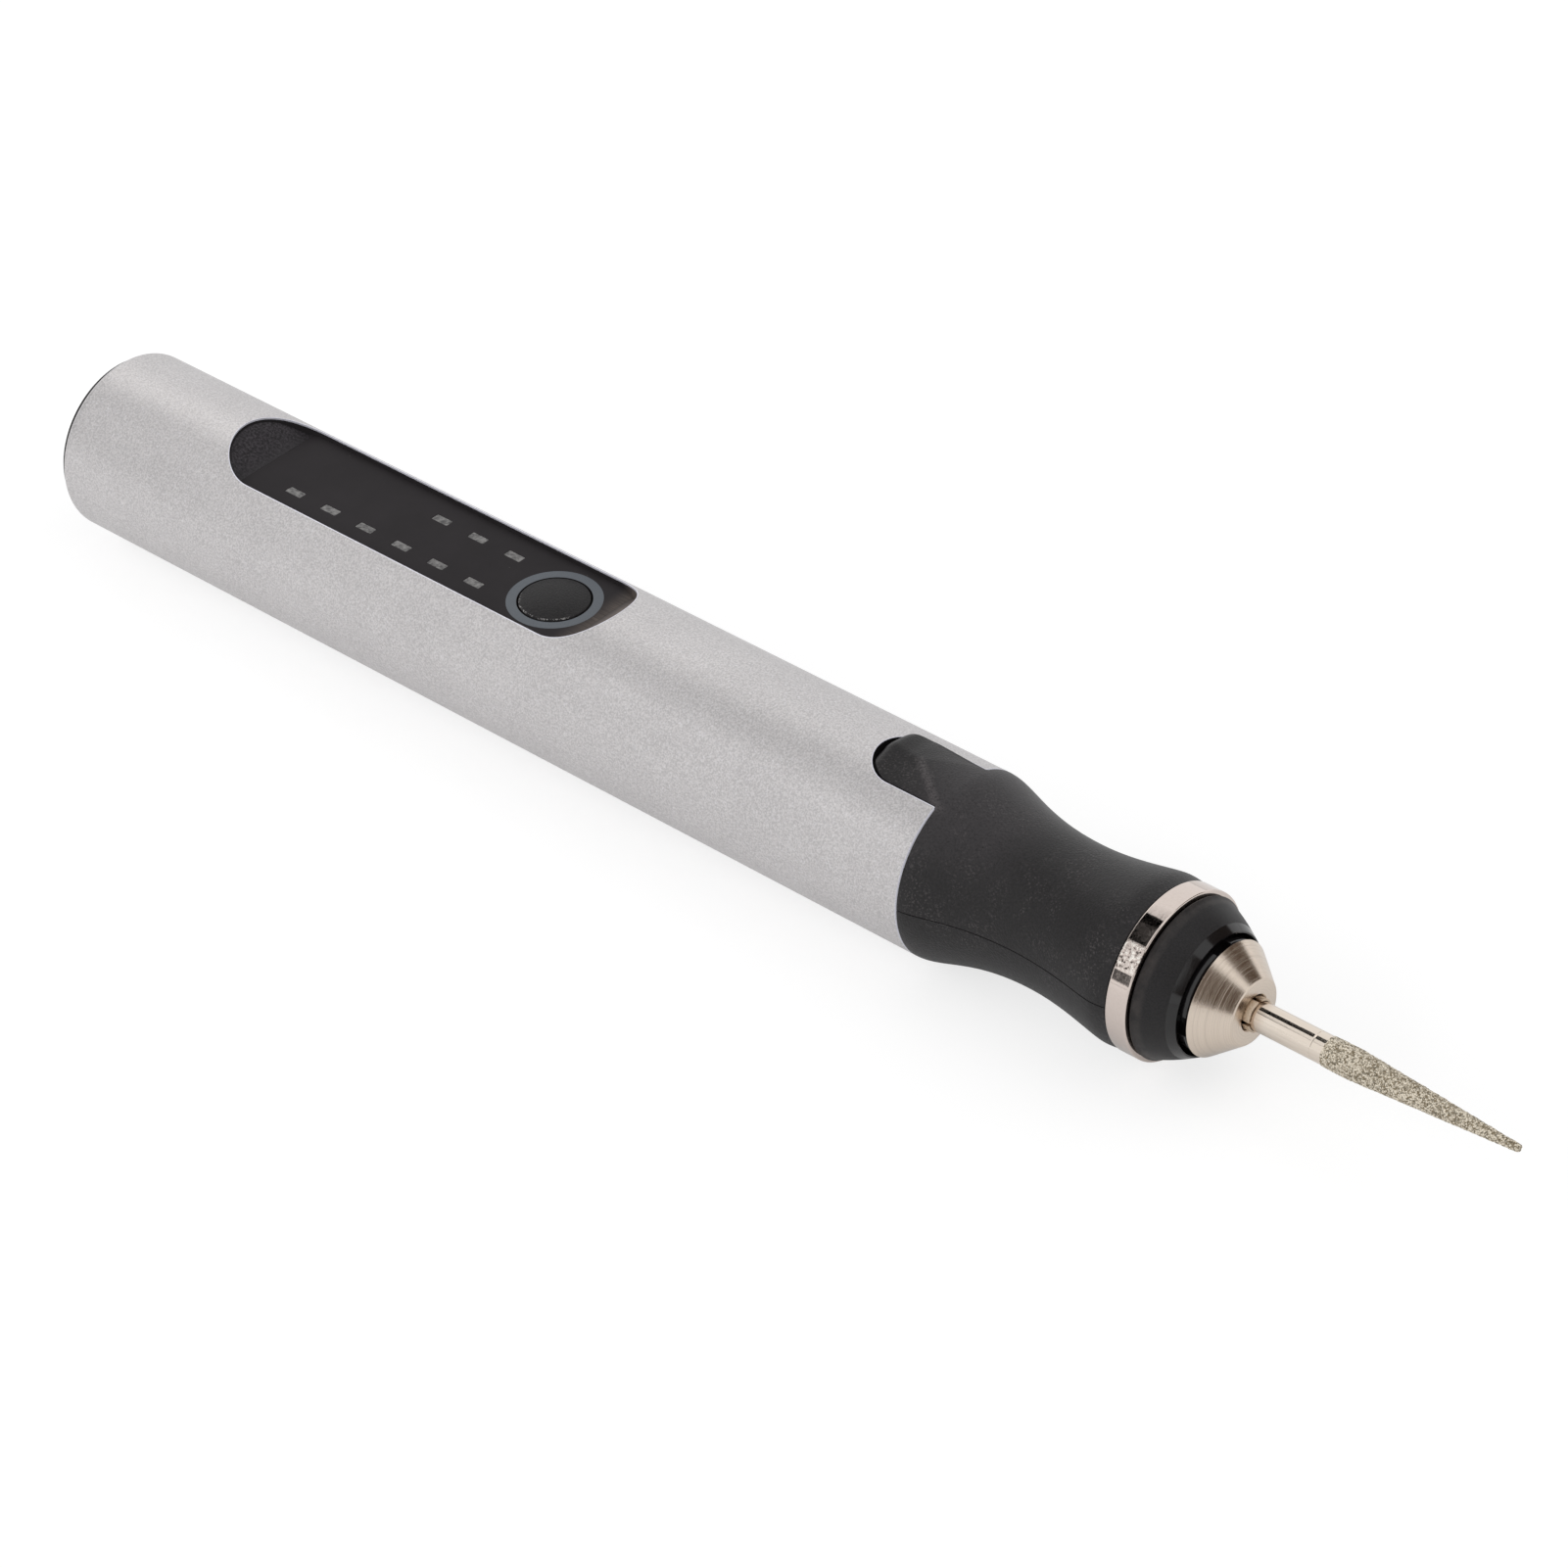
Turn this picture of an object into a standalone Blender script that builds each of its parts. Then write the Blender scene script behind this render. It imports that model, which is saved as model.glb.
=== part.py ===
# Electric engraving pen: a rechargeable rotary engraver in a silver tube.
# It lies along +X with its bit forward and its control panel up (+Z).
# The underside of its tube is on z = 0, and all lengths are in metres.
# Places along the pen are measured from the tube's front rim, forward positive.

import bpy
import bmesh
from math import cos, pi, radians, sin, sqrt, tau
from mathutils import Matrix, Vector

# Sides of the round pieces
TUBE_SIDES = 60
ROUND_SIDES = 36
SMALL_SIDES = 24
TINY_SIDES = 12
ARC_STEPS = 6
CURVE_STEPS = 7

# Making
WELD = 0.000001
OVERRUN = 0.0010
SMOOTH_ANGLE = radians(35)

# Fits shared by neighbours
SLIDE_FIT = 0.0002
PRESS_FIT = 0.00005
RUNNING_FIT = 0.00008
FACE_GAP = 0.0001

# Barrel tube
TUBE_DIAMETER = 0.0200
TUBE_WALL = 0.0010
TUBE_LENGTH = 0.1184
TUBE_REAR_ROUNDING = 0.00075
TUBE_FRONT_CHAMFER = 0.00015
SLOT_SETBACK_SHARE = 0.3775
SLOT_LENGTH_SHARE = 0.4586
SLOT_WIDTH_SHARE = 0.605
NOTCH_LENGTH = 0.01012
NOTCH_WIDTH = 0.00765
NOTCH_MOUTH_ROUNDING = 0.0002

TUBE_RADIUS = TUBE_DIAMETER / 2
BORE_RADIUS = TUBE_RADIUS - TUBE_WALL
INSERT_RADIUS = BORE_RADIUS - SLIDE_FIT
SLOT_LENGTH = TUBE_LENGTH * SLOT_LENGTH_SHARE
SLOT_WIDTH = TUBE_DIAMETER * SLOT_WIDTH_SHARE
SLOT_FRONT = -TUBE_LENGTH * SLOT_SETBACK_SHARE
SLOT_REAR = SLOT_FRONT - SLOT_LENGTH

# Grip half shells
GRIP_LENGTH = 0.0248
GRIP_WAIST_RADIUS = 0.00772
GRIP_WAIST_SHARE = 0.525
GRIP_CREST_RADIUS = 0.00895
GRIP_LIP_LENGTH = 0.0016
GRIP_FRONT_RADIUS = 0.00880
GRIP_SHOULDER_SHARE = 0.18
GRIP_FALL_SHARE = 0.58
GRIP_RISE_SHARE = 0.47
GRIP_SWELL_SHARE = 0.145
GRIP_BORE_RADIUS = 0.0056
SPLIT_HEIGHT = 0.0005
SEAM_WIDTH = 0.0001
SPIGOT_CLEARANCE = 0.0052
SPIGOT_WALL = 0.0009
NECK_RADIUS = 0.0069
NECK_LENGTH = 0.0042
NECK_BORE_RADIUS = 0.0052

# Tongue of the upper shell
TONGUE_SIDE_GAP = 0.00013
TONGUE_REAR_GAP = 0.00045
TONGUE_PROUD = 0.00042
TONGUE_CREST = 0.00076
TONGUE_SUNK = 0.00050
TONGUE_RISE = 0.00145
TONGUE_EASE = 0.0020
TONGUE_FALL = 0.0050

# Nose ring and nose cone
RING_WIDTH = 0.0024
RING_RADIUS = 0.00890
RING_CHAMFER = 0.00015
NOSE_LENGTH = 0.0041
NOSE_REAR_RADIUS = 0.00850
NOSE_SHOULDER = 0.0003
NOSE_FRONT_RADIUS = 0.00652
NOSE_BULGE = 0.00013
NOSE_MOUTH_RADIUS = 0.00635
NOSE_LIP = 0.0020

# Rear end cap
CAP_EDGE_SETBACK = 0.00065
CAP_FLANGE = 0.00065
CAP_EDGE_ROUNDING = 0.0004
CAP_SPIGOT = 0.0055
CAP_WALL = 0.0012
CAP_FLOOR = 0.0022
CAP_RAIL_WIDTH = 0.0022
CAP_RAIL_DEPTH = 0.0014

# Charging socket and its board
SOCKET_WIDTH = 0.00894
SOCKET_HEIGHT = 0.00326
SOCKET_LENGTH = 0.00735
SOCKET_WALL = 0.0003
SOCKET_RECESS = 0.0006
SOCKET_TONGUE_WIDTH = 0.00669
SOCKET_TONGUE_THICKNESS = 0.0007
CHARGE_BOARD_CLEARANCE = 0.0025
CHARGE_BOARD_INSET = 0.0016
CHARGE_BOARD_THICKNESS = 0.0008

# Control panel
PANEL_RECESS = 0.00072
SLOT_GAP = 0.00015
RAMP_RECESS = 0.00075
REAR_RAMP_LENGTH = 0.0042
FRONT_RAMP_LENGTH = 0.0035
FILM_THICKNESS = 0.0002
FILM_EDGE_GAP = 0.0001
PLATE_SINK = 0.0001
FLANGE_REACH = 0.00045
FLANGE_END_REACH = 0.0025
BEZEL_WALL = 0.0011
BEZEL_DEPTH = 0.0019

# Light windows and their guides
WINDOW_LENGTH = 0.0023
WINDOW_WIDTH = 0.0011
WINDOW_PITCH_SHARE = 0.09577
WINDOW_ROW_OFFSET = 0.0030
LAST_WINDOW_SHARE = 0.3315
NEAR_WINDOWS = 6
FAR_WINDOWS = 3
WINDOW_FIT = 0.00005
GUIDE_BAR_THICKNESS = 0.0005
GUIDE_BAR_END = 0.0006
LED_LENGTH = 0.0016
LED_WIDTH = 0.0008
LED_HEIGHT = 0.0006
LED_EDGE = 0.0001

# Power button and push switch
BUTTON_SETBACK = 0.00943
BUTTON_RADIUS = 0.00376
BUTTON_HOLE_RADIUS = 0.0039
BUTTON_EDGE_PROUD = 0.0001
BUTTON_CROWN = 0.0004
BUTTON_EDGE_ROUNDING = 0.0002
BUTTON_FLANGE_RADIUS = 0.0045
BUTTON_FLANGE = 0.0005
BUTTON_STEM_RADIUS = 0.0012
SWITCH_SIZE = 0.0045
SWITCH_HEIGHT = 0.0009
SWITCH_EDGE = 0.0003
PLUNGER_RADIUS = 0.0009
PLUNGER_PROUD = 0.0003
PLUNGER_SUNK = 0.0003
PLUNGER_ROOM = 0.0003

# Main board, its screws and the chassis
BOARD_THICKNESS = 0.0008
BOARD_WIDTH = 0.0126
BOARD_END_REACH = 0.0040
BOARD_CORNER = 0.0010
SCREW_END_DISTANCE = 0.0022
SCREW_HEAD_RADIUS = 0.0013
SCREW_HEAD_HEIGHT = 0.0008
SCREW_RADIUS = 0.0006
SCREW_LENGTH = 0.0040
SCREW_FIT = 0.0001
CHASSIS_NOTCH_LENGTH = 0.0060
CHASSIS_FLOOR = 0.00113
CHASSIS_NOTCHES = 4

# Cell and its solder tabs
CELL_END_ROOM = 0.0233
CELL_EDGE = 0.0004
CELL_BUTTON_RADIUS = 0.0024
CELL_BUTTON_HEIGHT = 0.0005
CELL_FIT = 0.0002
CELL_TOP_GAP = 0.0007
TAB_THICKNESS = 0.00015
TAB_WIDTH = 0.0040
TAB_FOOT = 0.0030

# Motor
MOTOR_SETBACK = 0.0060
MOTOR_REAR_INSET = 0.0015
MOTOR_WALL = 0.0006
MOTOR_CORNER = 0.0008
MOTOR_BOSS_RADIUS = 0.0030
MOTOR_BOSS_LENGTH = 0.0014
END_BELL_THICKNESS = 0.0024
END_BELL_BOSS_RADIUS = 0.0024
END_BELL_BOSS_LENGTH = 0.0012
MAGNET_THICKNESS = 0.0014
MAGNET_END_ROOM = 0.0105
MAGNET_HALF_ANGLE = radians(58)
MOTOR_SHAFT_RADIUS = 0.0010
MOTOR_SHAFT_REACH = 0.0057
BUSH_RADIUS = 0.0018
BUSH_LENGTH = 0.0024
ROTOR_GAP = 0.0003
ROTOR_END_INSET = 0.0010
ROTOR_POLES = 3
ROTOR_HUB_SHARE = 0.39
ROTOR_WEB_SHARE = 0.33
ROTOR_SHOE_SHARE = 0.185
ROTOR_SHOE_HALF_ANGLE = radians(48)
WINDING_END = 0.0016
WINDING_CLEARANCE = 0.00015
COMMUTATOR_RADIUS = 0.0021
COMMUTATOR_LENGTH = 0.0024
COMMUTATOR_SLIT = 0.0003
COMMUTATOR_SETBACK = 0.0010
TERMINAL_THICKNESS = 0.0003
TERMINAL_WIDTH = 0.0018
TERMINAL_REACH = 0.0026
TERMINAL_OFFSET = 0.0042
LEAD_RADIUS = 0.00045
LEAD_STEPS = 12

# Coupling, spindle and bearings
COUPLING_RADIUS = 0.0029
COUPLING_LENGTH = 0.0060
COUPLING_ROOM = 0.0007
STUB_RADIUS = 0.0015
STUB_LENGTH = 0.0024
REAR_BEARING_INNER_RADIUS = 0.0025
REAR_BEARING_OUTER_RADIUS = 0.0055
REAR_BEARING_WIDTH = 0.0040
REAR_BEARING_AT = 0.0030
FRONT_BEARING_INNER_RADIUS = 0.0040
FRONT_BEARING_OUTER_RADIUS = 0.0060
FRONT_BEARING_WIDTH = 0.0035
FRONT_BEARING_INSET = 0.0014
RACE_SHARE = 0.22
CAGE_WIDTH_SHARE = 0.45
CAGE_THICKNESS_SHARE = 0.12
BALLS = 7
SPINDLE_RADIUS = 0.0034
SPINDLE_SHOULDER_RADIUS = 0.0046
SPINDLE_SHOULDER = 0.0005
SPINDLE_THREAD_RADIUS = 0.0038
SPINDLE_THREAD_LENGTH = 0.0017
SHANK_BORE_ROOM = 0.0006
COLLAR_RADIUS = 0.0059
COLLAR_LENGTH = 0.0026
COLLAR_SETBACK = 0.0002
COLLAR_EDGE = 0.00025
COLLAR_NOTCHES = 4
COLLAR_NOTCH_WIDTH = 0.0022
COLLAR_NOTCH_DEPTH = 0.0009
COLLAR_NOTCH_LENGTH = 0.0012

# Collet, chuck nut and engraving bit
NUT_CLEARANCE = 0.00086
NUT_LENGTH = 0.00334
NUT_REAR_RADIUS = 0.0061
NUT_FRONT_RADIUS = 0.00345
NUT_EDGE = 0.00012
NUT_BORE_RADIUS = 0.00185
NUT_THREAD_FIT = 0.00015
NUT_THREAD_SHARE = 0.50
NUT_CONE_SHARE = 0.85
NUT_CONE_RADIUS = 0.0032
COLLET_RADIUS = 0.0025
COLLET_LENGTH = 0.0092
COLLET_CONE_GAP = 0.00018
COLLET_NOSE_REACH = 0.0007
COLLET_SLITS = 2
COLLET_SLIT_WIDTH = 0.0004
COLLET_SLIT_SHARE = 0.72
BIT_LENGTH = 0.0450
BIT_REACH = 0.0306
SHANK_DIAMETER = 0.0030
BIT_HEAD_LENGTH = 0.0218
BIT_HEAD_RADIUS = 0.0016
BIT_HEAD_STRAIGHT = 0.0031
BIT_NECK_TAPER = 0.0010
BIT_TIP_RADIUS = 0.00042
BIT_TIP_ROUNDING = 0.0003
BIT_SHANK_CHAMFER = 0.0003

# Stations along the pen and heights from its axis, from the sizes above
SHANK_RADIUS = SHANK_DIAMETER / 2
GRIP_WAIST_AT = GRIP_LENGTH * GRIP_WAIST_SHARE
GRIP_CREST_AT = GRIP_LENGTH - GRIP_LIP_LENGTH
NECK_FRONT = GRIP_LENGTH + NECK_LENGTH
RING_REAR = GRIP_LENGTH + FACE_GAP
RING_FRONT = RING_REAR + RING_WIDTH
NOSE_REAR = RING_FRONT + FACE_GAP
NOSE_FRONT = NOSE_REAR + NOSE_LENGTH
NUT_AT = NOSE_FRONT + NUT_CLEARANCE
NUT_FRONT = NUT_AT + NUT_LENGTH
BIT_TIP = NUT_FRONT + BIT_REACH
BIT_REAR = BIT_TIP - BIT_LENGTH
CAP_REAR = -TUBE_LENGTH - CAP_FLANGE
CAP_FLANGE_RADIUS = TUBE_RADIUS - CAP_EDGE_SETBACK
REAR_BEARING_FRONT = REAR_BEARING_AT + REAR_BEARING_WIDTH
FRONT_BEARING_AT = GRIP_LENGTH - FRONT_BEARING_INSET
FRONT_BEARING_FRONT = FRONT_BEARING_AT + FRONT_BEARING_WIDTH
SPINDLE_FRONT = NUT_AT + SPINDLE_THREAD_LENGTH - COLLAR_SETBACK
COLLAR_FRONT = NUT_AT - COLLAR_SETBACK
COLLAR_REAR = COLLAR_FRONT - COLLAR_LENGTH
BUTTON_AT = SLOT_FRONT - BUTTON_SETBACK

SLOT_EDGE_HEIGHT = sqrt(TUBE_RADIUS ** 2 - (SLOT_WIDTH / 2) ** 2)
PANEL_HEIGHT = SLOT_EDGE_HEIGHT - PANEL_RECESS
FILM_UNDERSIDE = PANEL_HEIGHT - FILM_THICKNESS
BEZEL_HALF_WIDTH = SLOT_WIDTH / 2 + FLANGE_REACH
BEZEL_TOP = sqrt(INSERT_RADIUS ** 2 - BEZEL_HALF_WIDTH ** 2)
PLATE_UNDERSIDE = BEZEL_TOP - PLATE_SINK
BEZEL_BOTTOM = PLATE_UNDERSIDE - BEZEL_DEPTH
BEZEL_REAR = SLOT_REAR - FLANGE_END_REACH
BEZEL_FRONT = SLOT_FRONT + FLANGE_END_REACH
BOARD_TOP = BEZEL_BOTTOM - PRESS_FIT
BOARD_UNDERSIDE = BOARD_TOP - BOARD_THICKNESS
BOARD_REAR = BEZEL_REAR - BOARD_END_REACH
BOARD_FRONT = BEZEL_FRONT + BOARD_END_REACH
CHASSIS_TOP = BOARD_UNDERSIDE - PRESS_FIT
CHASSIS_REAR = BOARD_REAR
CHASSIS_FRONT = BOARD_FRONT
CELL_DIAMETER = CHASSIS_TOP - CELL_TOP_GAP + INSERT_RADIUS - CHASSIS_FLOOR
CELL_RADIUS = CELL_DIAMETER / 2
CELL_HEIGHT = CHASSIS_TOP - CELL_TOP_GAP - CELL_RADIUS
CELL_LENGTH = BOARD_FRONT - BOARD_REAR - CELL_END_ROOM
CELL_REAR = BOARD_REAR + CELL_END_ROOM / 2
CELL_FRONT = CELL_REAR + CELL_LENGTH
WINDOW_LAST = SLOT_FRONT - SLOT_LENGTH * LAST_WINDOW_SHARE
WINDOW_PITCH = SLOT_LENGTH * WINDOW_PITCH_SHARE
SPIGOT_REAR = BOARD_FRONT + SPIGOT_CLEARANCE
MOTOR_FRONT = -MOTOR_SETBACK
MOTOR_REAR = SPIGOT_REAR + MOTOR_REAR_INSET
MOTOR_RADIUS = INSERT_RADIUS - SPIGOT_WALL - SLIDE_FIT
MAGNET_LENGTH = MOTOR_FRONT - MOTOR_REAR - MAGNET_END_ROOM
ROTOR_LENGTH = MAGNET_LENGTH - 2 * ROTOR_END_INSET
MAGNET_INNER_RADIUS = MOTOR_RADIUS - MOTOR_WALL - SLIDE_FIT - MAGNET_THICKNESS
ROTOR_RADIUS = MAGNET_INNER_RADIUS - ROTOR_GAP
ROTOR_HUB_RADIUS = ROTOR_RADIUS * ROTOR_HUB_SHARE
ROTOR_WEB = ROTOR_RADIUS * ROTOR_WEB_SHARE
ROTOR_SHOE = ROTOR_RADIUS * ROTOR_SHOE_SHARE
CHARGE_BOARD_REAR = CAP_REAR + CAP_FLOOR + PRESS_FIT
CHARGE_BOARD_FRONT = CHASSIS_REAR - CHARGE_BOARD_CLEARANCE
CHARGE_BOARD_WIDTH = 2 * (INSERT_RADIUS - CAP_WALL - CHARGE_BOARD_INSET)

# The pen's place in the world: its box is centred over the origin, on z = 0
RIM_X = -(CAP_REAR + BIT_TIP) / 2
AXIS_HEIGHT = TUBE_RADIUS * cos(pi / TUBE_SIDES)


# Scene and materials

def clear_scene():
    for item in list(bpy.data.objects):
        bpy.data.objects.remove(item, do_unlink=True)


def finish(name, colour, roughness, metallic=0.0):
    material = bpy.data.materials.new(name)
    material.use_nodes = True
    shader = material.node_tree.nodes["Principled BSDF"]
    shader.inputs["Base Color"].default_value = (*colour, 1.0)
    shader.inputs["Roughness"].default_value = roughness
    shader.inputs["Metallic"].default_value = metallic
    material.diffuse_color = (*colour, 1.0)
    return material


def axis_empty(name, station, parent=None):
    empty = bpy.data.objects.new(name, None)
    bpy.context.scene.collection.objects.link(empty)
    empty.empty_display_size = TUBE_RADIUS
    if parent is None:
        empty.location = (RIM_X + station, 0.0, AXIS_HEIGHT)
    else:
        empty.parent = parent
        empty.location = (station, 0.0, 0.0)
    return empty


# Shape helpers: each makes one object whose origin lies at its own station

def add_object(name, bm, material, parent, location):
    bmesh.ops.recalc_face_normals(bm, faces=bm.faces)
    mesh = bpy.data.meshes.new(name)
    bm.to_mesh(mesh)
    bm.free()
    mesh.shade_smooth()
    mesh.set_sharp_from_angle(angle=SMOOTH_ANGLE)
    piece = bpy.data.objects.new(name, mesh)
    bpy.context.scene.collection.objects.link(piece)
    if material:
        mesh.materials.append(material)
    piece.parent = parent
    piece.location = location
    return piece


def turned(name, profile, material, parent, origin=0.0, sides=ROUND_SIDES):
    # Turns (x, radius) points about X; a profile clear of the axis is closed into a ring
    bm = bmesh.new()
    half_side = Matrix.Rotation(pi / sides, 4, "X")
    points = [bm.verts.new(half_side @ Vector((x - origin, 0.0, radius))) for x, radius in profile]
    edges = [bm.edges.new(pair) for pair in zip(points, points[1:])]
    if min(radius for x, radius in profile) > 0.0:
        edges.append(bm.edges.new((points[-1], points[0])))
    bmesh.ops.spin(
        bm,
        geom=points + edges,
        cent=(0.0, 0.0, 0.0),
        axis=(1.0, 0.0, 0.0),
        angle=tau,
        steps=sides,
        use_merge=True,
    )
    bmesh.ops.remove_doubles(bm, verts=bm.verts, dist=WELD)
    return add_object(name, bm, material, parent, (origin, 0.0, 0.0))


def extruded(name, outline, plane, low, high, material, parent, location=(0.0, 0.0, 0.0)):
    # Extrudes a flat outline square to its plane, which is "XY", "XZ" or "YZ"
    to_point = {
        "XY": lambda a, b, height: (a, b, height),
        "XZ": lambda a, b, height: (a, height, b),
        "YZ": lambda a, b, height: (height, a, b),
    }[plane]
    bm = bmesh.new()
    base = bm.faces.new([bm.verts.new(to_point(a, b, low)) for a, b in outline])
    grown = bmesh.ops.extrude_face_region(bm, geom=[base])
    lifted = [item for item in grown["geom"] if isinstance(item, bmesh.types.BMVert)]
    bmesh.ops.translate(bm, verts=lifted, vec=to_point(0.0, 0.0, high - low))
    return add_object(name, bm, material, parent, location)


def block(name, low, high, material, parent, edge=0.0):
    # A box between two corners, with its edges bevelled where edge is given
    size = Vector(high) - Vector(low)
    middle = (Vector(high) + Vector(low)) / 2
    bm = bmesh.new()
    bmesh.ops.create_cube(bm, size=1.0, matrix=Matrix.Diagonal((*size, 1.0)))
    if edge > 0.0:
        bmesh.ops.bevel(bm, geom=bm.edges[:], offset=edge, segments=1, affect="EDGES")
    return add_object(name, bm, material, parent, middle)


def as_cutter(piece):
    piece.hide_render = True
    piece.display_type = "WIRE"
    return piece


def combine(target, tool, operation):
    modifier = target.modifiers.new(tool.name, "BOOLEAN")
    modifier.operation = operation
    modifier.solver = "EXACT"
    modifier.object = as_cutter(tool)


def cut(target, tool):
    combine(target, tool, "DIFFERENCE")


def fuse(target, tool):
    combine(target, tool, "UNION")


def keep_inside(target, tool):
    combine(target, tool, "INTERSECT")


# Outline helpers

def arc(centre, radius, start, end, steps=ARC_STEPS):
    angles = [start + (end - start) * step / steps for step in range(steps + 1)]
    return [(centre[0] + radius * cos(angle), centre[1] + radius * sin(angle)) for angle in angles]


def rounded_box(low, high, radius, steps=ARC_STEPS):
    # Rectangle with round corners; with half its width as radius it is a stadium
    left = low[0] + radius
    right = high[0] - radius
    bottom = low[1] + radius
    top = high[1] - radius
    outline = arc((right, bottom), radius, -pi / 2, 0.0, steps)
    outline += arc((right, top), radius, 0.0, pi / 2, steps)
    outline += arc((left, top), radius, pi / 2, pi, steps)
    outline += arc((left, bottom), radius, pi, pi * 3 / 2, steps)
    tidy = []
    for point in outline:
        if not tidy or (Vector(point) - Vector(tidy[-1])).length > WELD:
            tidy.append(point)
    if (Vector(tidy[0]) - Vector(tidy[-1])).length <= WELD:
        tidy.pop()
    return tidy


def flowing(start, start_handle, end_handle, end, steps=CURVE_STEPS):
    # Points of a Bezier curve
    points = []
    for step in range(steps + 1):
        t = step / steps
        u = 1.0 - t
        weights = (u ** 3, 3 * u * u * t, 3 * u * t * t, t ** 3)
        corners = (start, start_handle, end_handle, end)
        along = sum(weight * corner[0] for weight, corner in zip(weights, corners))
        out = sum(weight * corner[1] for weight, corner in zip(weights, corners))
        points.append((along, out))
    return points


# Barrel tube: a thin tube with a panel slot and a keyed notch at its front rim

def stadium_slot(inset):
    half = SLOT_WIDTH / 2 - inset
    low = (SLOT_REAR + inset, -half)
    high = (SLOT_FRONT - inset, half)
    return rounded_box(low, high, half, CURVE_STEPS)


def notch_outline(inset, rear_inset, mouth):
    # The notch opens forward; its mouth flares by the rounding of the tube's corners
    half = NOTCH_WIDTH / 2 - inset
    rear = -NOTCH_LENGTH + rear_inset + half
    outline = [(mouth, -half - NOTCH_MOUTH_ROUNDING), (0.0, -half - NOTCH_MOUTH_ROUNDING)]
    corner = (-NOTCH_MOUTH_ROUNDING, -half - NOTCH_MOUTH_ROUNDING)
    outline += arc(corner, NOTCH_MOUTH_ROUNDING, 0.0, pi / 2, ARC_STEPS // 2)[1:]
    outline += arc((rear, 0.0), half, -pi / 2, -pi * 3 / 2, CURVE_STEPS)
    corner = (-NOTCH_MOUTH_ROUNDING, half + NOTCH_MOUTH_ROUNDING)
    outline += arc(corner, NOTCH_MOUTH_ROUNDING, -pi / 2, 0.0, ARC_STEPS // 2)
    outline.append((mouth, half + NOTCH_MOUTH_ROUNDING))
    return outline


def make_barrel_tube(parent, silver):
    rounding = TUBE_REAR_ROUNDING
    rear_corner = (-TUBE_LENGTH + rounding, TUBE_RADIUS - rounding)
    profile = [(-TUBE_LENGTH, BORE_RADIUS)]
    profile += arc(rear_corner, rounding, pi, pi / 2, ARC_STEPS // 2)
    profile += [
        (-TUBE_FRONT_CHAMFER, TUBE_RADIUS),
        (0.0, TUBE_RADIUS - TUBE_FRONT_CHAMFER),
        (0.0, BORE_RADIUS),
    ]
    tube = turned("barrel_tube", profile, silver, parent, sides=TUBE_SIDES)
    top = TUBE_RADIUS + OVERRUN
    cut(tube, extruded("panel_slot_cutter", stadium_slot(0.0), "XY", 0.0, top, None, parent))
    notch = notch_outline(0.0, 0.0, OVERRUN)
    cut(tube, extruded("notch_cutter", notch, "XY", 0.0, top, None, parent))
    return tube


# Grip: two half shells that carry the motor and both bearings

def grip_outer_curve():
    fall = GRIP_WAIST_AT - FACE_GAP
    rise = GRIP_CREST_AT - GRIP_WAIST_AT
    rear = flowing(
        (FACE_GAP, TUBE_RADIUS),
        (FACE_GAP + fall * GRIP_SHOULDER_SHARE, TUBE_RADIUS),
        (GRIP_WAIST_AT - fall * GRIP_FALL_SHARE, GRIP_WAIST_RADIUS),
        (GRIP_WAIST_AT, GRIP_WAIST_RADIUS),
    )
    front = flowing(
        (GRIP_WAIST_AT, GRIP_WAIST_RADIUS),
        (GRIP_WAIST_AT + rise * GRIP_RISE_SHARE, GRIP_WAIST_RADIUS),
        (GRIP_CREST_AT - rise * GRIP_SWELL_SHARE, GRIP_CREST_RADIUS),
        (GRIP_CREST_AT, GRIP_CREST_RADIUS),
    )
    return rear + front[1:] + [(GRIP_LENGTH, GRIP_FRONT_RADIUS)]


def grip_section():
    motor_seat = MOTOR_RADIUS + SLIDE_FIT
    boss_front = MOTOR_FRONT + MOTOR_BOSS_LENGTH + FACE_GAP
    coupling_room = COUPLING_RADIUS + COUPLING_ROOM
    rear_seat = REAR_BEARING_OUTER_RADIUS + PRESS_FIT
    front_seat = FRONT_BEARING_OUTER_RADIUS + PRESS_FIT
    outer = [(SPIGOT_REAR, INSERT_RADIUS), (FACE_GAP, INSERT_RADIUS)]
    outer += grip_outer_curve()
    outer += [(GRIP_LENGTH, NECK_RADIUS), (NECK_FRONT, NECK_RADIUS)]
    inner = [
        (NECK_FRONT, NECK_BORE_RADIUS),
        (FRONT_BEARING_FRONT + FACE_GAP, NECK_BORE_RADIUS),
        (FRONT_BEARING_FRONT + FACE_GAP, front_seat),
        (FRONT_BEARING_AT - FACE_GAP, front_seat),
        (FRONT_BEARING_AT - FACE_GAP, GRIP_BORE_RADIUS - SLIDE_FIT),
        (REAR_BEARING_FRONT + FACE_GAP, GRIP_BORE_RADIUS - SLIDE_FIT),
        (REAR_BEARING_FRONT + FACE_GAP, rear_seat),
        (REAR_BEARING_AT - FACE_GAP, rear_seat),
        (REAR_BEARING_AT - FACE_GAP, coupling_room),
        (boss_front, coupling_room),
        (boss_front, MOTOR_BOSS_RADIUS + SLIDE_FIT),
        (MOTOR_FRONT + FACE_GAP, MOTOR_BOSS_RADIUS + SLIDE_FIT),
        (MOTOR_FRONT + FACE_GAP, motor_seat),
        (SPIGOT_REAR, motor_seat),
    ]
    return outer + inner


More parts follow.
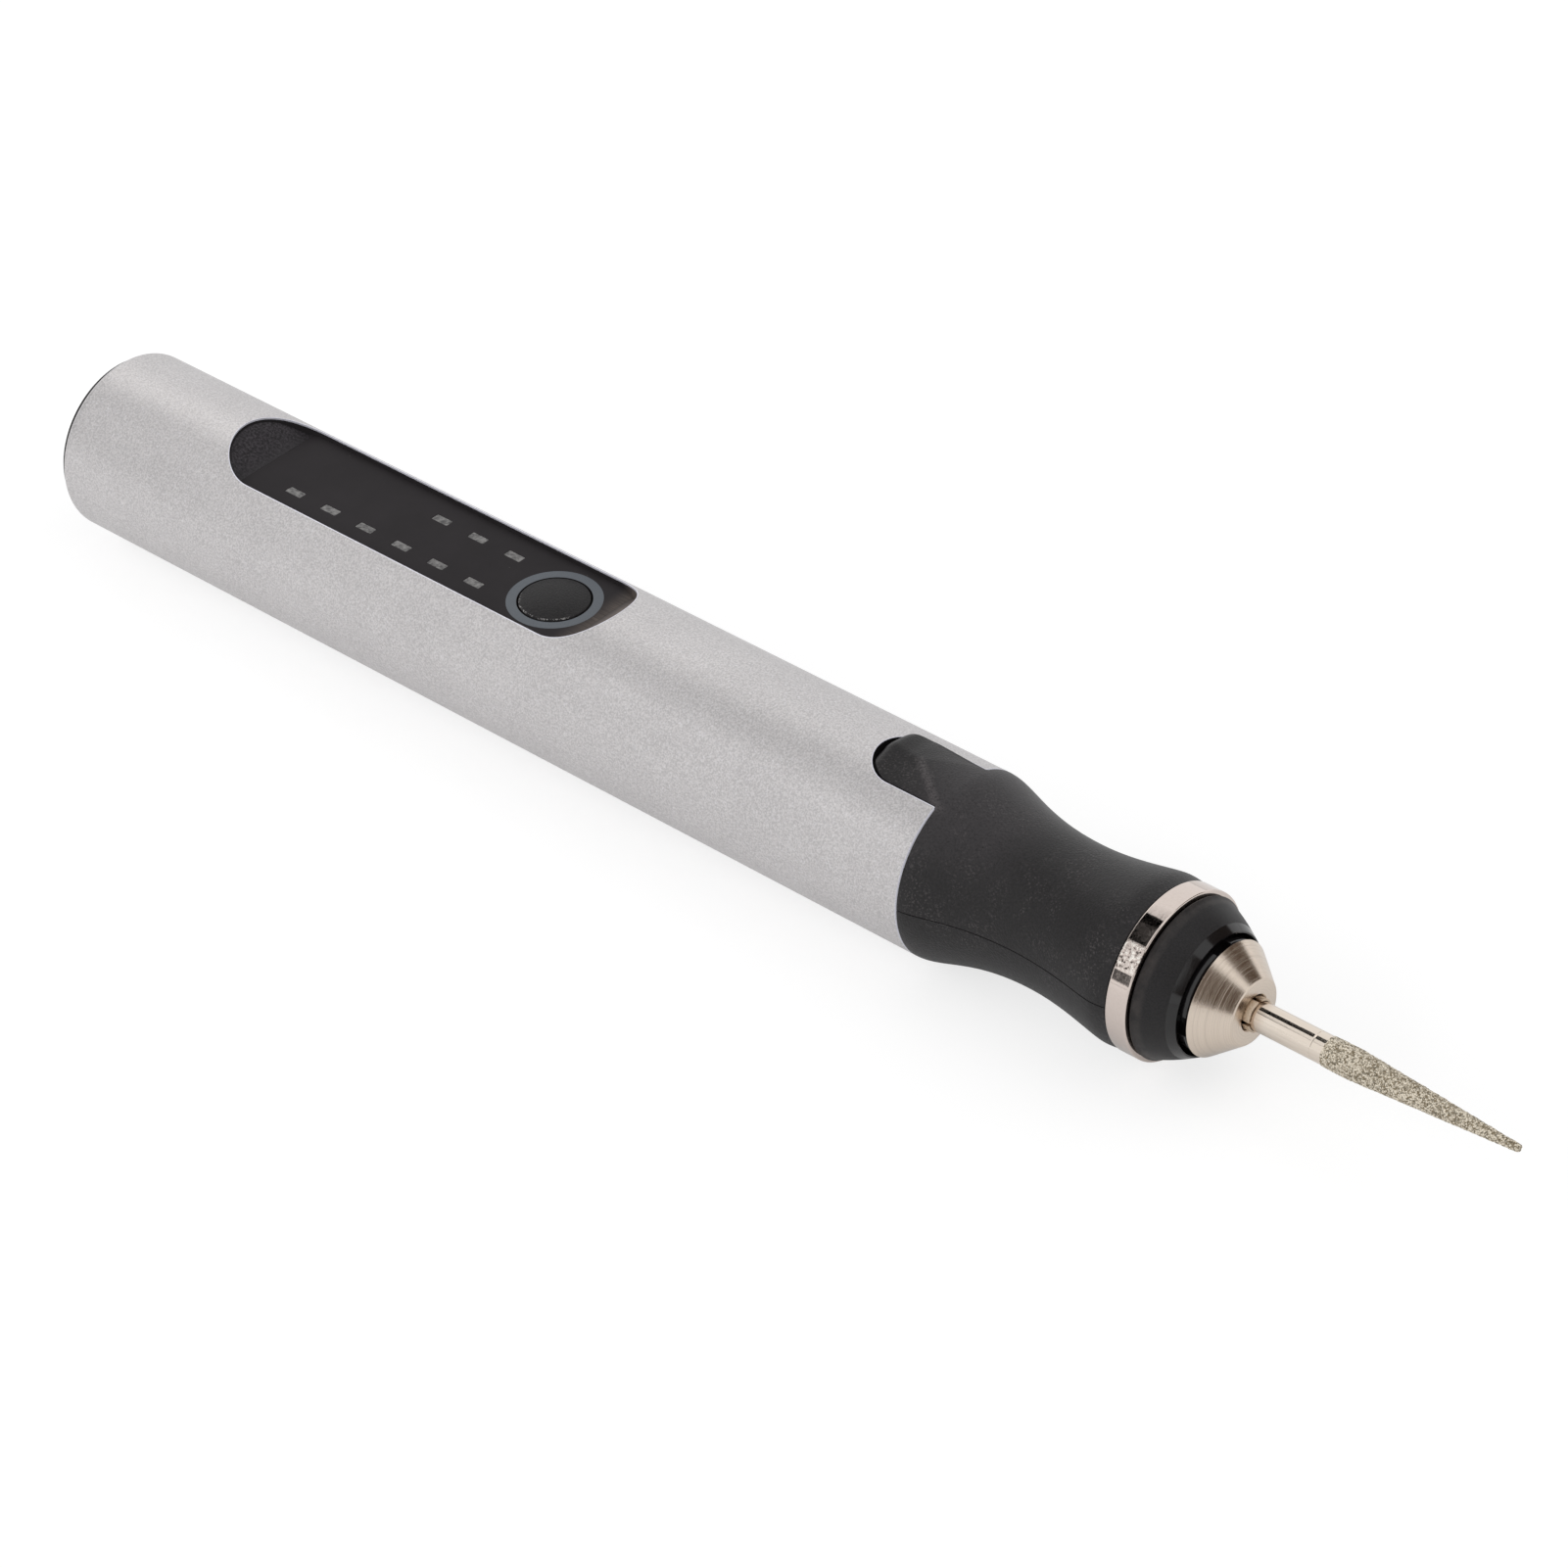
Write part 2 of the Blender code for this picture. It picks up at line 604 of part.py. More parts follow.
def make_tongue(parent):
    # A key that fills the tube's notch: it stands proud near its rear end, which slopes in
    rear = -NOTCH_LENGTH + TONGUE_REAR_GAP
    crest = rear + TONGUE_RISE
    root = (MOTOR_RADIUS + SLIDE_FIT + INSERT_RADIUS) / 2
    front = GRIP_WAIST_AT * GRIP_SHOULDER_SHARE
    rise = flowing(
        (rear, TUBE_RADIUS - TONGUE_SUNK),
        (rear + TONGUE_RISE / 4, TUBE_RADIUS),
        (crest - TONGUE_RISE / 2, TUBE_RADIUS + TONGUE_CREST),
        (crest, TUBE_RADIUS + TONGUE_CREST),
        ARC_STEPS,
    )
    eased = crest + TONGUE_EASE
    ease = flowing(
        (crest, TUBE_RADIUS + TONGUE_CREST),
        (crest + TONGUE_EASE / 4, TUBE_RADIUS + TONGUE_CREST),
        (crest + TONGUE_EASE / 2, TUBE_RADIUS + TONGUE_PROUD),
        (eased, TUBE_RADIUS + TONGUE_PROUD),
        ARC_STEPS,
    )
    fall = [(-TONGUE_FALL, TUBE_RADIUS + TONGUE_PROUD), (0.0, TUBE_RADIUS)]
    profile = [(rear - OVERRUN, root), (rear - OVERRUN, INSERT_RADIUS)] + rise + ease[1:] + fall
    profile += [(front, INSERT_RADIUS), (front, root)]
    tongue = turned("tongue_solid", profile, None, parent)
    outline = notch_outline(TONGUE_SIDE_GAP, TONGUE_REAR_GAP, front + OVERRUN)
    height = TUBE_RADIUS + OVERRUN
    keep_inside(tongue, extruded("tongue_outline", outline, "XY", 0.0, height, None, parent))
    return tongue


def half_space(name, upper, parent):
    reach = TUBE_DIAMETER
    rear = SPIGOT_REAR - OVERRUN
    front = NECK_FRONT + OVERRUN
    if upper:
        low = (rear, -reach, SPLIT_HEIGHT + SEAM_WIDTH / 2)
        high = (front, reach, reach)
    else:
        low = (rear, -reach, -reach)
        high = (front, reach, SPLIT_HEIGHT - SEAM_WIDTH / 2)
    return block(name, low, high, None, parent)


def make_grip(parent, black):
    upper = turned("grip_upper_shell", grip_section(), black, parent)
    keep_inside(upper, half_space("upper_half", True, parent))
    fuse(upper, make_tongue(parent))
    lower = turned("grip_lower_shell", grip_section(), black, parent)
    keep_inside(lower, half_space("lower_half", False, parent))
    return upper, lower


# Nose: a plated ring and a black cone, both slipped over the grip's neck

def make_nose_ring(parent, nickel):
    bore = NECK_RADIUS + SLIDE_FIT
    profile = [
        (RING_REAR, bore),
        (RING_REAR, RING_RADIUS - RING_CHAMFER),
        (RING_REAR + RING_CHAMFER, RING_RADIUS),
        (RING_FRONT - RING_CHAMFER, RING_RADIUS),
        (RING_FRONT, RING_RADIUS - RING_CHAMFER),
        (RING_FRONT, bore),
    ]
    return turned("nose_ring", profile, nickel, parent)


def nose_curve():
    # A small round shoulder beside the ring, then a slight bulge down to the mouth
    shoulder = NOSE_SHOULDER
    centre = (NOSE_REAR + shoulder, NOSE_REAR_RADIUS - shoulder)
    points = arc(centre, shoulder, pi, pi / 2, ARC_STEPS // 2)
    for step in range(1, CURVE_STEPS + 1):
        t = step / CURVE_STEPS
        radius = NOSE_REAR_RADIUS + (NOSE_FRONT_RADIUS - NOSE_REAR_RADIUS) * t
        points.append((NOSE_REAR + NOSE_LENGTH * t, radius + NOSE_BULGE * 4 * t * (1 - t)))
    return points


def make_nose_cone(parent, black):
    bore = NECK_RADIUS + SLIDE_FIT
    lip_rear = NOSE_FRONT - NOSE_LIP
    profile = [(NOSE_REAR, bore)] + nose_curve()
    profile += [(NOSE_FRONT, NOSE_MOUTH_RADIUS), (lip_rear, NOSE_MOUTH_RADIUS), (lip_rear, bore)]
    return turned("nose_cone", profile, black, parent)


# Rear end cap with the charging port

def socket_outline(grow):
    half_width = SOCKET_WIDTH / 2 + grow
    half_height = SOCKET_HEIGHT / 2 + grow
    return rounded_box((-half_width, -half_height), (half_width, half_height), half_height)


def charge_board_top():
    return -SOCKET_HEIGHT / 2 - PRESS_FIT


def make_end_cap(parent, black):
    rounding = CAP_EDGE_ROUNDING
    corner = (CAP_REAR + rounding, CAP_FLANGE_RADIUS - rounding)
    floor = CAP_REAR + CAP_FLOOR
    spigot_front = -TUBE_LENGTH + CAP_SPIGOT
    profile = [(CAP_REAR, 0.0)]
    profile += arc(corner, rounding, pi, pi / 2, ARC_STEPS // 2)
    profile += [
        (-TUBE_LENGTH, CAP_FLANGE_RADIUS),
        (-TUBE_LENGTH, INSERT_RADIUS),
        (spigot_front, INSERT_RADIUS),
        (spigot_front, INSERT_RADIUS - CAP_WALL),
        (floor, INSERT_RADIUS - CAP_WALL),
        (floor, 0.0),
    ]
    cap = turned("end_cap", profile, black, parent, CAP_REAR)
    rail_top = charge_board_top() - CHARGE_BOARD_THICKNESS - PRESS_FIT
    for side in (-1, 1):
        outer = side * CHARGE_BOARD_WIDTH / 2
        inner = outer - side * CAP_RAIL_WIDTH
        low = (floor - CAP_FLOOR / 2, min(inner, outer), rail_top - CAP_RAIL_DEPTH)
        high = (spigot_front, max(inner, outer), rail_top)
        fuse(cap, block("cap_rail_" + ("near" if side < 0 else "far"), low, high, None, parent))
    port = socket_outline(SLIDE_FIT)
    rear = CAP_REAR - OVERRUN
    cut(cap, extruded("port_cutter", port, "YZ", rear, floor + OVERRUN, None, parent))
    return cap


def make_charge_socket(parent, steel, black):
    rear = CAP_REAR + SOCKET_RECESS
    front = rear + SOCKET_LENGTH
    shell = extruded("charge_socket", socket_outline(0.0), "YZ", rear, front, steel, parent)
    mouth = socket_outline(-SOCKET_WALL)
    pocket_front = front - SOCKET_WALL
    cut(shell, extruded("socket_cutter", mouth, "YZ", rear - OVERRUN, pocket_front, None, parent))
    half_width = SOCKET_TONGUE_WIDTH / 2
    half_thickness = SOCKET_TONGUE_THICKNESS / 2
    low = (rear + SOCKET_RECESS, -half_width, -half_thickness)
    high = (pocket_front - PRESS_FIT, half_width, half_thickness)
    tongue = block("charge_socket_tongue", low, high, black, parent)
    return shell, tongue


def make_charge_board(parent, green):
    half = CHARGE_BOARD_WIDTH / 2
    low = (CHARGE_BOARD_REAR, -half)
    high = (CHARGE_BOARD_FRONT, half)
    top = charge_board_top()
    outline = rounded_box(low, high, BOARD_CORNER, ARC_STEPS // 2)
    bottom = top - CHARGE_BOARD_THICKNESS
    return extruded("charge_board", outline, "XY", bottom, top, green, parent)


# Control panel: a bezel that rises through the slot, with sloped ends and a flat film

def panel_feet():
    # Stations where the sloped ends meet the flat field
    return SLOT_REAR + REAR_RAMP_LENGTH, SLOT_FRONT - FRONT_RAMP_LENGTH


def window_stations(count):
    return [WINDOW_LAST - WINDOW_PITCH * step for step in range(count)]


def window_cutter(name, rows_and_counts, grow, low, high, parent):
    # One tool with a box for every window
    bm = bmesh.new()
    for row, count in rows_and_counts:
        for station in window_stations(count):
            size = (WINDOW_LENGTH + grow, WINDOW_WIDTH + grow, high - low, 1.0)
            place = Matrix.Translation((station, row, (low + high) / 2))
            bmesh.ops.create_cube(bm, size=1.0, matrix=place @ Matrix.Diagonal(size))
    return add_object(name, bm, None, parent, (0.0, 0.0, 0.0))


def window_rows():
    return ((-WINDOW_ROW_OFFSET, NEAR_WINDOWS), (WINDOW_ROW_OFFSET, FAR_WINDOWS))


def button_hole(name, parent):
    hole = arc((BUTTON_AT, 0.0), BUTTON_HOLE_RADIUS, 0.0, tau, ROUND_SIDES)[:-1]
    high = PANEL_HEIGHT + OVERRUN
    return extruded(name, hole, "XY", PLATE_UNDERSIDE - OVERRUN, high, None, parent)


def make_panel_pad(parent):
    # Flat field with a recess for the film, and an end that slopes up to the tube's crown
    rear_foot, front_foot = panel_feet()
    crown = TUBE_RADIUS - RAMP_RECESS
    bottom = (BEZEL_TOP + PLATE_UNDERSIDE) / 2
    side_view = [
        (SLOT_REAR, bottom),
        (SLOT_REAR, crown),
        (rear_foot, PANEL_HEIGHT),
        (rear_foot, FILM_UNDERSIDE),
        (front_foot, FILM_UNDERSIDE),
        (front_foot, PANEL_HEIGHT),
        (SLOT_FRONT, crown),
        (SLOT_FRONT, bottom),
    ]
    half = SLOT_WIDTH / 2
    pad = extruded("panel_pad", side_view, "XZ", -half, half, None, parent)
    outline = stadium_slot(SLOT_GAP)
    height = TUBE_RADIUS + OVERRUN
    keep_inside(pad, extruded("panel_pad_outline", outline, "XY", 0.0, height, None, parent))
    return pad


def make_panel_bezel(parent, black):
    half = BEZEL_HALF_WIDTH
    low = (BEZEL_REAR, -half)
    high = (BEZEL_FRONT, half)
    outline = rounded_box(low, high, BOARD_CORNER, ARC_STEPS // 2)
    bezel = extruded("panel_bezel", outline, "XY", BEZEL_BOTTOM, BEZEL_TOP, black, parent)
    fuse(bezel, make_panel_pad(parent))
    wall = BEZEL_WALL
    pocket_low = (SLOT_REAR + REAR_RAMP_LENGTH, -half + wall, BEZEL_BOTTOM - OVERRUN)
    pocket_high = (SLOT_FRONT - wall, half - wall, PLATE_UNDERSIDE)
    cut(bezel, block("bezel_pocket", pocket_low, pocket_high, None, parent))
    windows = window_cutter(
        "bezel_windows",
        window_rows(),
        0.0,
        PLATE_UNDERSIDE - OVERRUN,
        PANEL_HEIGHT + OVERRUN,
        parent,
    )
    cut(bezel, windows)
    cut(bezel, button_hole("bezel_button_hole", parent))
    return bezel


def make_panel_film(parent, gloss_black):
    rear_foot, front_foot = panel_feet()
    inset = SLOT_GAP + FILM_EDGE_GAP
    outline = stadium_slot(inset)
    film = extruded("panel_film", outline, "XY", FILM_UNDERSIDE, PANEL_HEIGHT, gloss_black, parent)
    low = (rear_foot + FILM_EDGE_GAP, -SLOT_WIDTH, FILM_UNDERSIDE - OVERRUN)
    high = (front_foot - FILM_EDGE_GAP, SLOT_WIDTH, PANEL_HEIGHT + OVERRUN)
    keep_inside(film, block("film_field", low, high, None, parent))
    windows = window_cutter(
        "film_windows",
        window_rows(),
        0.0,
        FILM_UNDERSIDE - OVERRUN,
        PANEL_HEIGHT + OVERRUN,
        parent,
    )
    cut(film, windows)
    cut(film, button_hole("film_button_hole", parent))
    return film


def make_light_guide(name, row, count, parent, clear):
    # A comb: one bar under the plate with a tooth up each window
    half_tooth = WINDOW_LENGTH / 2 - WINDOW_FIT
    bar_top = PLATE_UNDERSIDE - PRESS_FIT
    bar_bottom = bar_top - GUIDE_BAR_THICKNESS
    tooth_top = PANEL_HEIGHT - WINDOW_FIT
    stations = sorted(window_stations(count))
    outline = [
        (stations[-1] + half_tooth + GUIDE_BAR_END, bar_bottom),
        (stations[0] - half_tooth - GUIDE_BAR_END, bar_bottom),
        (stations[0] - half_tooth - GUIDE_BAR_END, bar_top),
    ]
    for station in stations:
        outline += [
            (station - half_tooth, bar_top),
            (station - half_tooth, tooth_top),
            (station + half_tooth, tooth_top),
            (station + half_tooth, bar_top),
        ]
    outline.append((stations[-1] + half_tooth + GUIDE_BAR_END, bar_top))
    half = WINDOW_WIDTH / 2 - WINDOW_FIT
    return extruded(name, outline, "XZ", row - half, row + half, clear, parent)


def make_leds(parent, white):
    number = 0
    for row, count in window_rows():
        for station in window_stations(count):
            number += 1
            low = (station - LED_LENGTH / 2, row - LED_WIDTH / 2, BOARD_TOP)
            high = (station + LED_LENGTH / 2, row + LED_WIDTH / 2, BOARD_TOP + LED_HEIGHT)
            block("led_" + str(number), low, high, white, parent, LED_EDGE)


# Power button over its push switch; both moving pieces share one axis

def make_power_button(parent, black):
    flange_top = PLATE_UNDERSIDE - PRESS_FIT
    flange_bottom = flange_top - BUTTON_FLANGE
    stem_bottom = BOARD_TOP + SWITCH_HEIGHT + PLUNGER_PROUD + PRESS_FIT
    edge_top = PANEL_HEIGHT + BUTTON_EDGE_PROUD
    crown = flowing(
        (edge_top, BUTTON_RADIUS - BUTTON_EDGE_ROUNDING),
        (edge_top + BUTTON_CROWN / 2, BUTTON_RADIUS - 2 * BUTTON_EDGE_ROUNDING),
        (edge_top + BUTTON_CROWN, BUTTON_RADIUS / 2),
        (edge_top + BUTTON_CROWN, 0.0),
        ARC_STEPS - 1,
    )
    profile = [
        (stem_bottom, 0.0),
        (stem_bottom, BUTTON_STEM_RADIUS),
        (flange_bottom, BUTTON_STEM_RADIUS),
        (flange_bottom, BUTTON_FLANGE_RADIUS),
        (flange_top, BUTTON_FLANGE_RADIUS),
        (flange_top, BUTTON_RADIUS),
        (edge_top - BUTTON_EDGE_ROUNDING, BUTTON_RADIUS),
    ]
    button = turned("power_button", profile + crown, black, parent)
    stand_upright(button)
    return button


def stand_upright(piece):
    # A piece turned about X is stood on end, over the switch
    piece.rotation_euler = (0.0, -pi / 2, 0.0)
    piece.location = (BUTTON_AT, 0.0, 0.0)


def make_switch(parent, steel, black):
    half = SWITCH_SIZE / 2
    low = (BUTTON_AT - half, -half, BOARD_TOP)
    high = (BUTTON_AT + half, half, BOARD_TOP + SWITCH_HEIGHT)
    body = block("switch_body", low, high, steel, parent, SWITCH_EDGE)
    top = BOARD_TOP + SWITCH_HEIGHT
    well = top - PLUNGER_SUNK - PLUNGER_ROOM
    hole = arc((BUTTON_AT, 0.0), PLUNGER_RADIUS + RUNNING_FIT, 0.0, tau, SMALL_SIDES)[:-1]
    cut(body, extruded("switch_well", hole, "XY", well, top + OVERRUN, None, parent))
    profile = [
        (top - PLUNGER_SUNK, 0.0),
        (top - PLUNGER_SUNK, PLUNGER_RADIUS),
        (top + PLUNGER_PROUD, PLUNGER_RADIUS),
        (top + PLUNGER_PROUD, 0.0),
    ]
    plunger = turned("switch_plunger", profile, black, parent, sides=SMALL_SIDES)
    stand_upright(plunger)
    return body, plunger


# Main board, its screws, and the chassis that carries board and cell

def screw_stations():
    return BOARD_REAR + SCREW_END_DISTANCE, BOARD_FRONT - SCREW_END_DISTANCE


def screw_hole(name, station, radius, low, high, parent):
    hole = arc((station, 0.0), radius, 0.0, tau, TINY_SIDES)[:-1]
    return extruded(name, hole, "XY", low, high, None, parent)


def make_main_board(parent, green):
    half = BOARD_WIDTH / 2
    low = (BOARD_REAR, -half)
    high = (BOARD_FRONT, half)
    outline = rounded_box(low, high, BOARD_CORNER, ARC_STEPS // 2)
    board = extruded("main_board", outline, "XY", BOARD_UNDERSIDE, BOARD_TOP, green, parent)
    for number, station in enumerate(screw_stations(), 1):
        hole = screw_hole(
            "board_hole_" + str(number),
            station,
            SCREW_RADIUS + SCREW_FIT,
            BOARD_UNDERSIDE - OVERRUN,
            BOARD_TOP + OVERRUN,
            parent,
        )
        cut(board, hole)
    return board


def make_board_screws(parent, steel):
    for end, station in zip(("rear", "front"), screw_stations()):
        head_bottom = BOARD_TOP
        head_top = head_bottom + SCREW_HEAD_HEIGHT
        tip = head_bottom - SCREW_LENGTH
        profile = [
            (tip, 0.0),
            (tip + SCREW_RADIUS, SCREW_RADIUS),
            (head_bottom, SCREW_RADIUS),
            (head_bottom, SCREW_HEAD_RADIUS),
            (head_top - SCREW_HEAD_HEIGHT / 2, SCREW_HEAD_RADIUS),
            (head_top, SCREW_HEAD_RADIUS / 2),
            (head_top, 0.0),
        ]
        screw = turned("board_screw_" + end, profile, steel, parent, sides=TINY_SIDES)
        screw.rotation_euler = (0.0, -pi / 2, 0.0)
        screw.location = (station, 0.0, 0.0)


def cell_well_outline():
    # Round below the cell's middle and open above it
    radius = CELL_RADIUS + CELL_FIT
    outline = arc((0.0, CELL_HEIGHT), radius, pi, tau, 2 * CURVE_STEPS)
    outline += [(radius, TUBE_RADIUS), (-radius, TUBE_RADIUS)]
    return outline


def make_chassis(parent, black):
    profile = [
        (CHASSIS_REAR, 0.0),
        (CHASSIS_REAR, INSERT_RADIUS),
        (CHASSIS_FRONT, INSERT_RADIUS),
        (CHASSIS_FRONT, 0.0),
    ]
    chassis = turned("inner_chassis", profile, black, parent, CHASSIS_REAR)
    reach = TUBE_DIAMETER
    low = (CHASSIS_REAR - OVERRUN, -reach, CHASSIS_TOP)
    high = (CHASSIS_FRONT + OVERRUN, reach, reach)
    cut(chassis, block("chassis_top_cutter", low, high, None, parent))
    room = CELL_BUTTON_HEIGHT + TAB_THICKNESS + CELL_FIT
    well_rear = CELL_REAR - room
    well_front = CELL_FRONT + room
    well = cell_well_outline()
    cut(chassis, extruded("cell_well", well, "YZ", well_rear, well_front, None, parent))
    middle = (CHASSIS_REAR + CHASSIS_FRONT) / 2
    pitch = CELL_LENGTH / CHASSIS_NOTCHES
    first = middle - pitch * (CHASSIS_NOTCHES - 1) / 2
    for number in range(CHASSIS_NOTCHES):
        station = first + pitch * number
        half = CHASSIS_NOTCH_LENGTH / 2
        low = (station - half, -reach, CELL_HEIGHT)
        high = (station + half, reach, CHASSIS_TOP - CELL_TOP_GAP)
        cut(chassis, block("chassis_window_" + str(number + 1), low, high, None, parent))
    for number, station in enumerate(screw_stations(), 1):
        depth = BOARD_TOP - SCREW_LENGTH - SCREW_FIT
        hole = screw_hole(
            "chassis_hole_" + str(number),
            station,
            SCREW_RADIUS + SCREW_FIT,
            depth,
            CHASSIS_TOP + OVERRUN,
            parent,
        )
        cut(chassis, hole)
    return chassis


def make_cell(parent, sleeve):
    edge = CELL_EDGE
    front = CELL_FRONT - CELL_BUTTON_HEIGHT
    profile = [
        (CELL_REAR, 0.0),
        (CELL_REAR, CELL_RADIUS - edge),
        (CELL_REAR + edge, CELL_RADIUS),
        (front - edge, CELL_RADIUS),
        (front, CELL_RADIUS - edge),
        (front, CELL_BUTTON_RADIUS),
        (CELL_FRONT, CELL_BUTTON_RADIUS),
        (CELL_FRONT, 0.0),
    ]
    cell = turned("battery_cell", profile, sleeve, parent, CELL_REAR, SMALL_SIDES)
    cell.location.z = CELL_HEIGHT
    return cell


def make_cell_tabs(parent, nickel):
    # Each strip runs up the cell's end and folds over under the board
    foot_top = CHASSIS_TOP - PRESS_FIT
    foot_bottom = foot_top - TAB_THICKNESS
    strip_low = CELL_HEIGHT - TAB_WIDTH / 2
    for end, face, inward in (("rear", CELL_REAR, 1), ("front", CELL_FRONT, -1)):
        inner = face - inward * PRESS_FIT
        outer = inner - inward * TAB_THICKNESS
        toe = inner + inward * TAB_FOOT
        outline = [
            (outer, strip_low),
            (inner, strip_low),
            (inner, foot_bottom),
            (toe, foot_bottom),
            (toe, foot_top),
            (outer, foot_top),
        ]
        half = TAB_WIDTH / 2
        extruded("battery_tab_" + end, outline, "XZ", -half, half, nickel, parent)


# Motor: can, end bell, magnets and bush stand still

def make_motor_case(parent, steel, black, bronze):
    corner = (MOTOR_FRONT - MOTOR_CORNER, MOTOR_RADIUS - MOTOR_CORNER)
    inside = MOTOR_RADIUS - MOTOR_WALL
    profile = [(MOTOR_REAR, inside), (MOTOR_REAR, MOTOR_RADIUS)]
    profile += arc(corner, MOTOR_CORNER, pi / 2, 0.0, ARC_STEPS // 2)
    boss_front = MOTOR_FRONT + MOTOR_BOSS_LENGTH
    bush_hole = BUSH_RADIUS + PRESS_FIT
    profile += [
        (MOTOR_FRONT, MOTOR_BOSS_RADIUS),
        (boss_front, MOTOR_BOSS_RADIUS),
        (boss_front, bush_hole),
        (MOTOR_FRONT - MOTOR_WALL, bush_hole),
        (MOTOR_FRONT - MOTOR_WALL, inside),
    ]
    turned("motor_can", profile, steel, parent, MOTOR_REAR, SMALL_SIDES)
    bush_rear = boss_front - BUSH_LENGTH
    bush = [
        (bush_rear, MOTOR_SHAFT_RADIUS + RUNNING_FIT),
        (bush_rear, BUSH_RADIUS),
        (boss_front, BUSH_RADIUS),
        (boss_front, MOTOR_SHAFT_RADIUS + RUNNING_FIT),
    ]
    turned("motor_bush", bush, bronze, parent, bush_rear, SMALL_SIDES)
    make_end_bell(parent, black)


def make_end_bell(parent, black):
    rim = MOTOR_RADIUS - MOTOR_WALL - PRESS_FIT
    bell_front = MOTOR_REAR + END_BELL_THICKNESS
    boss_rear = MOTOR_REAR - END_BELL_BOSS_LENGTH
    shaft_hole = MOTOR_SHAFT_RADIUS + RUNNING_FIT
    profile = [
        (boss_rear, shaft_hole),
        (boss_rear, END_BELL_BOSS_RADIUS),
        (MOTOR_REAR, END_BELL_BOSS_RADIUS),
        (MOTOR_REAR, rim),
        (bell_front, rim),
        (bell_front, shaft_hole),
    ]
    bell = turned("motor_end_bell", profile, black, parent, MOTOR_REAR, SMALL_SIDES)
    for side in (-1, 1):
        half_width = TERMINAL_WIDTH / 2 + PRESS_FIT
        half_thickness = TERMINAL_THICKNESS / 2 + PRESS_FIT
        middle = side * TERMINAL_OFFSET
        low = (MOTOR_REAR - OVERRUN, middle - half_thickness, -half_width)
        high = (bell_front + OVERRUN, middle + half_thickness, half_width)
        cut(bell, block("terminal_slot_" + ("near" if side < 0 else "far"), low, high, None, parent))


def make_magnets(parent, dark_grey):
    inner = MAGNET_INNER_RADIUS
    outer = inner + MAGNET_THICKNESS
    front = MOTOR_FRONT - MOTOR_WALL - PRESS_FIT - WINDING_END
    rear = front - MAGNET_LENGTH
    for side, middle in (("near", pi), ("far", 0.0)):
        start = middle - MAGNET_HALF_ANGLE
        end = middle + MAGNET_HALF_ANGLE
        outline = arc((0.0, 0.0), outer, start, end, 2 * CURVE_STEPS)
        outline += arc((0.0, 0.0), inner, end, start, 2 * CURVE_STEPS)
        extruded("motor_magnet_" + side, outline, "YZ", rear, front, dark_grey, parent)


def make_terminals(parent, brass):
    for side, name in ((-1, "near"), (1, "far")):
        middle = side * TERMINAL_OFFSET
        half_thickness = TERMINAL_THICKNESS / 2
        half_width = TERMINAL_WIDTH / 2
        low = (MOTOR_REAR - TERMINAL_REACH, middle - half_thickness, -half_width)
        high = (MOTOR_REAR + END_BELL_THICKNESS, middle + half_thickness, half_width)
        block("motor_terminal_" + name, low, high, brass, parent)


# Leads: each is one bent wire from board to terminal or from board to board

def make_lead(name, start, bend_start, bend_end, end, colour, parent):
    curve = bpy.data.curves.new(name, "CURVE")
    curve.dimensions = "3D"
    curve.bevel_depth = LEAD_RADIUS
    curve.bevel_resolution = 2
    curve.use_fill_caps = True
    spline = curve.splines.new("POLY")
    spline.points.add(LEAD_STEPS)
    corners = [Vector(point) for point in (start, bend_start, bend_end, end)]
    for step, point in enumerate(spline.points):
        t = step / LEAD_STEPS
        u = 1.0 - t
        weights = (u ** 3, 3 * u * u * t, 3 * u * t * t, t ** 3)
        place = sum((weight * corner for weight, corner in zip(weights, corners)), Vector())
        point.co = (*place, 1.0)
    curve.materials.append(colour)
    lead = bpy.data.objects.new(name, curve)
    bpy.context.scene.collection.objects.link(lead)
    lead.parent = parent
    return lead


def make_motor_leads(parent, red, black):
    # From a terminal's outer face up and back to the board's front edge
    height = (BOARD_TOP + BOARD_UNDERSIDE) / 2
    for side, name, colour in ((-1, "near", black), (1, "far", red)):
        touch = side * (TERMINAL_OFFSET + TERMINAL_THICKNESS / 2 + LEAD_RADIUS + PRESS_FIT)
        terminal_end = MOTOR_REAR - TERMINAL_REACH
        start = (BOARD_FRONT + FACE_GAP, touch, height)
        bend_start = (BOARD_FRONT + TERMINAL_REACH, touch, height)
        bend_end = (terminal_end - TERMINAL_REACH, touch, 0.0)
        end = (terminal_end + TERMINAL_REACH / 2, touch, 0.0)
        make_lead("motor_lead_" + name, start, bend_start, bend_end, end, colour, parent)


def make_charge_leads(parent, red, black):
    # From the charging board's front edge to the main board's rear edge
    low = charge_board_top() - CHARGE_BOARD_THICKNESS / 2
    high = (BOARD_TOP + BOARD_UNDERSIDE) / 2
    rear = CHARGE_BOARD_FRONT + FACE_GAP
    front = BOARD_REAR - FACE_GAP
    middle = (rear + front) / 2
    for side, name, colour in ((-1, "near", black), (1, "far", red)):
        row = side * CHARGE_BOARD_WIDTH / 4
        start = (rear, row, low)
        end = (front, row, high)
        bend_start = (middle, row, low)
        bend_end = (middle, row, high)
        make_lead("charge_lead_" + name, start, bend_start, bend_end, end, colour, parent)


# Turning pieces: motor shaft, three-pole rotor, commutator and coupling

def rotor_span():
    front = MOTOR_FRONT - MOTOR_WALL - WINDING_END - MAGNET_LENGTH / 2 + ROTOR_LENGTH / 2
    return front - ROTOR_LENGTH, front


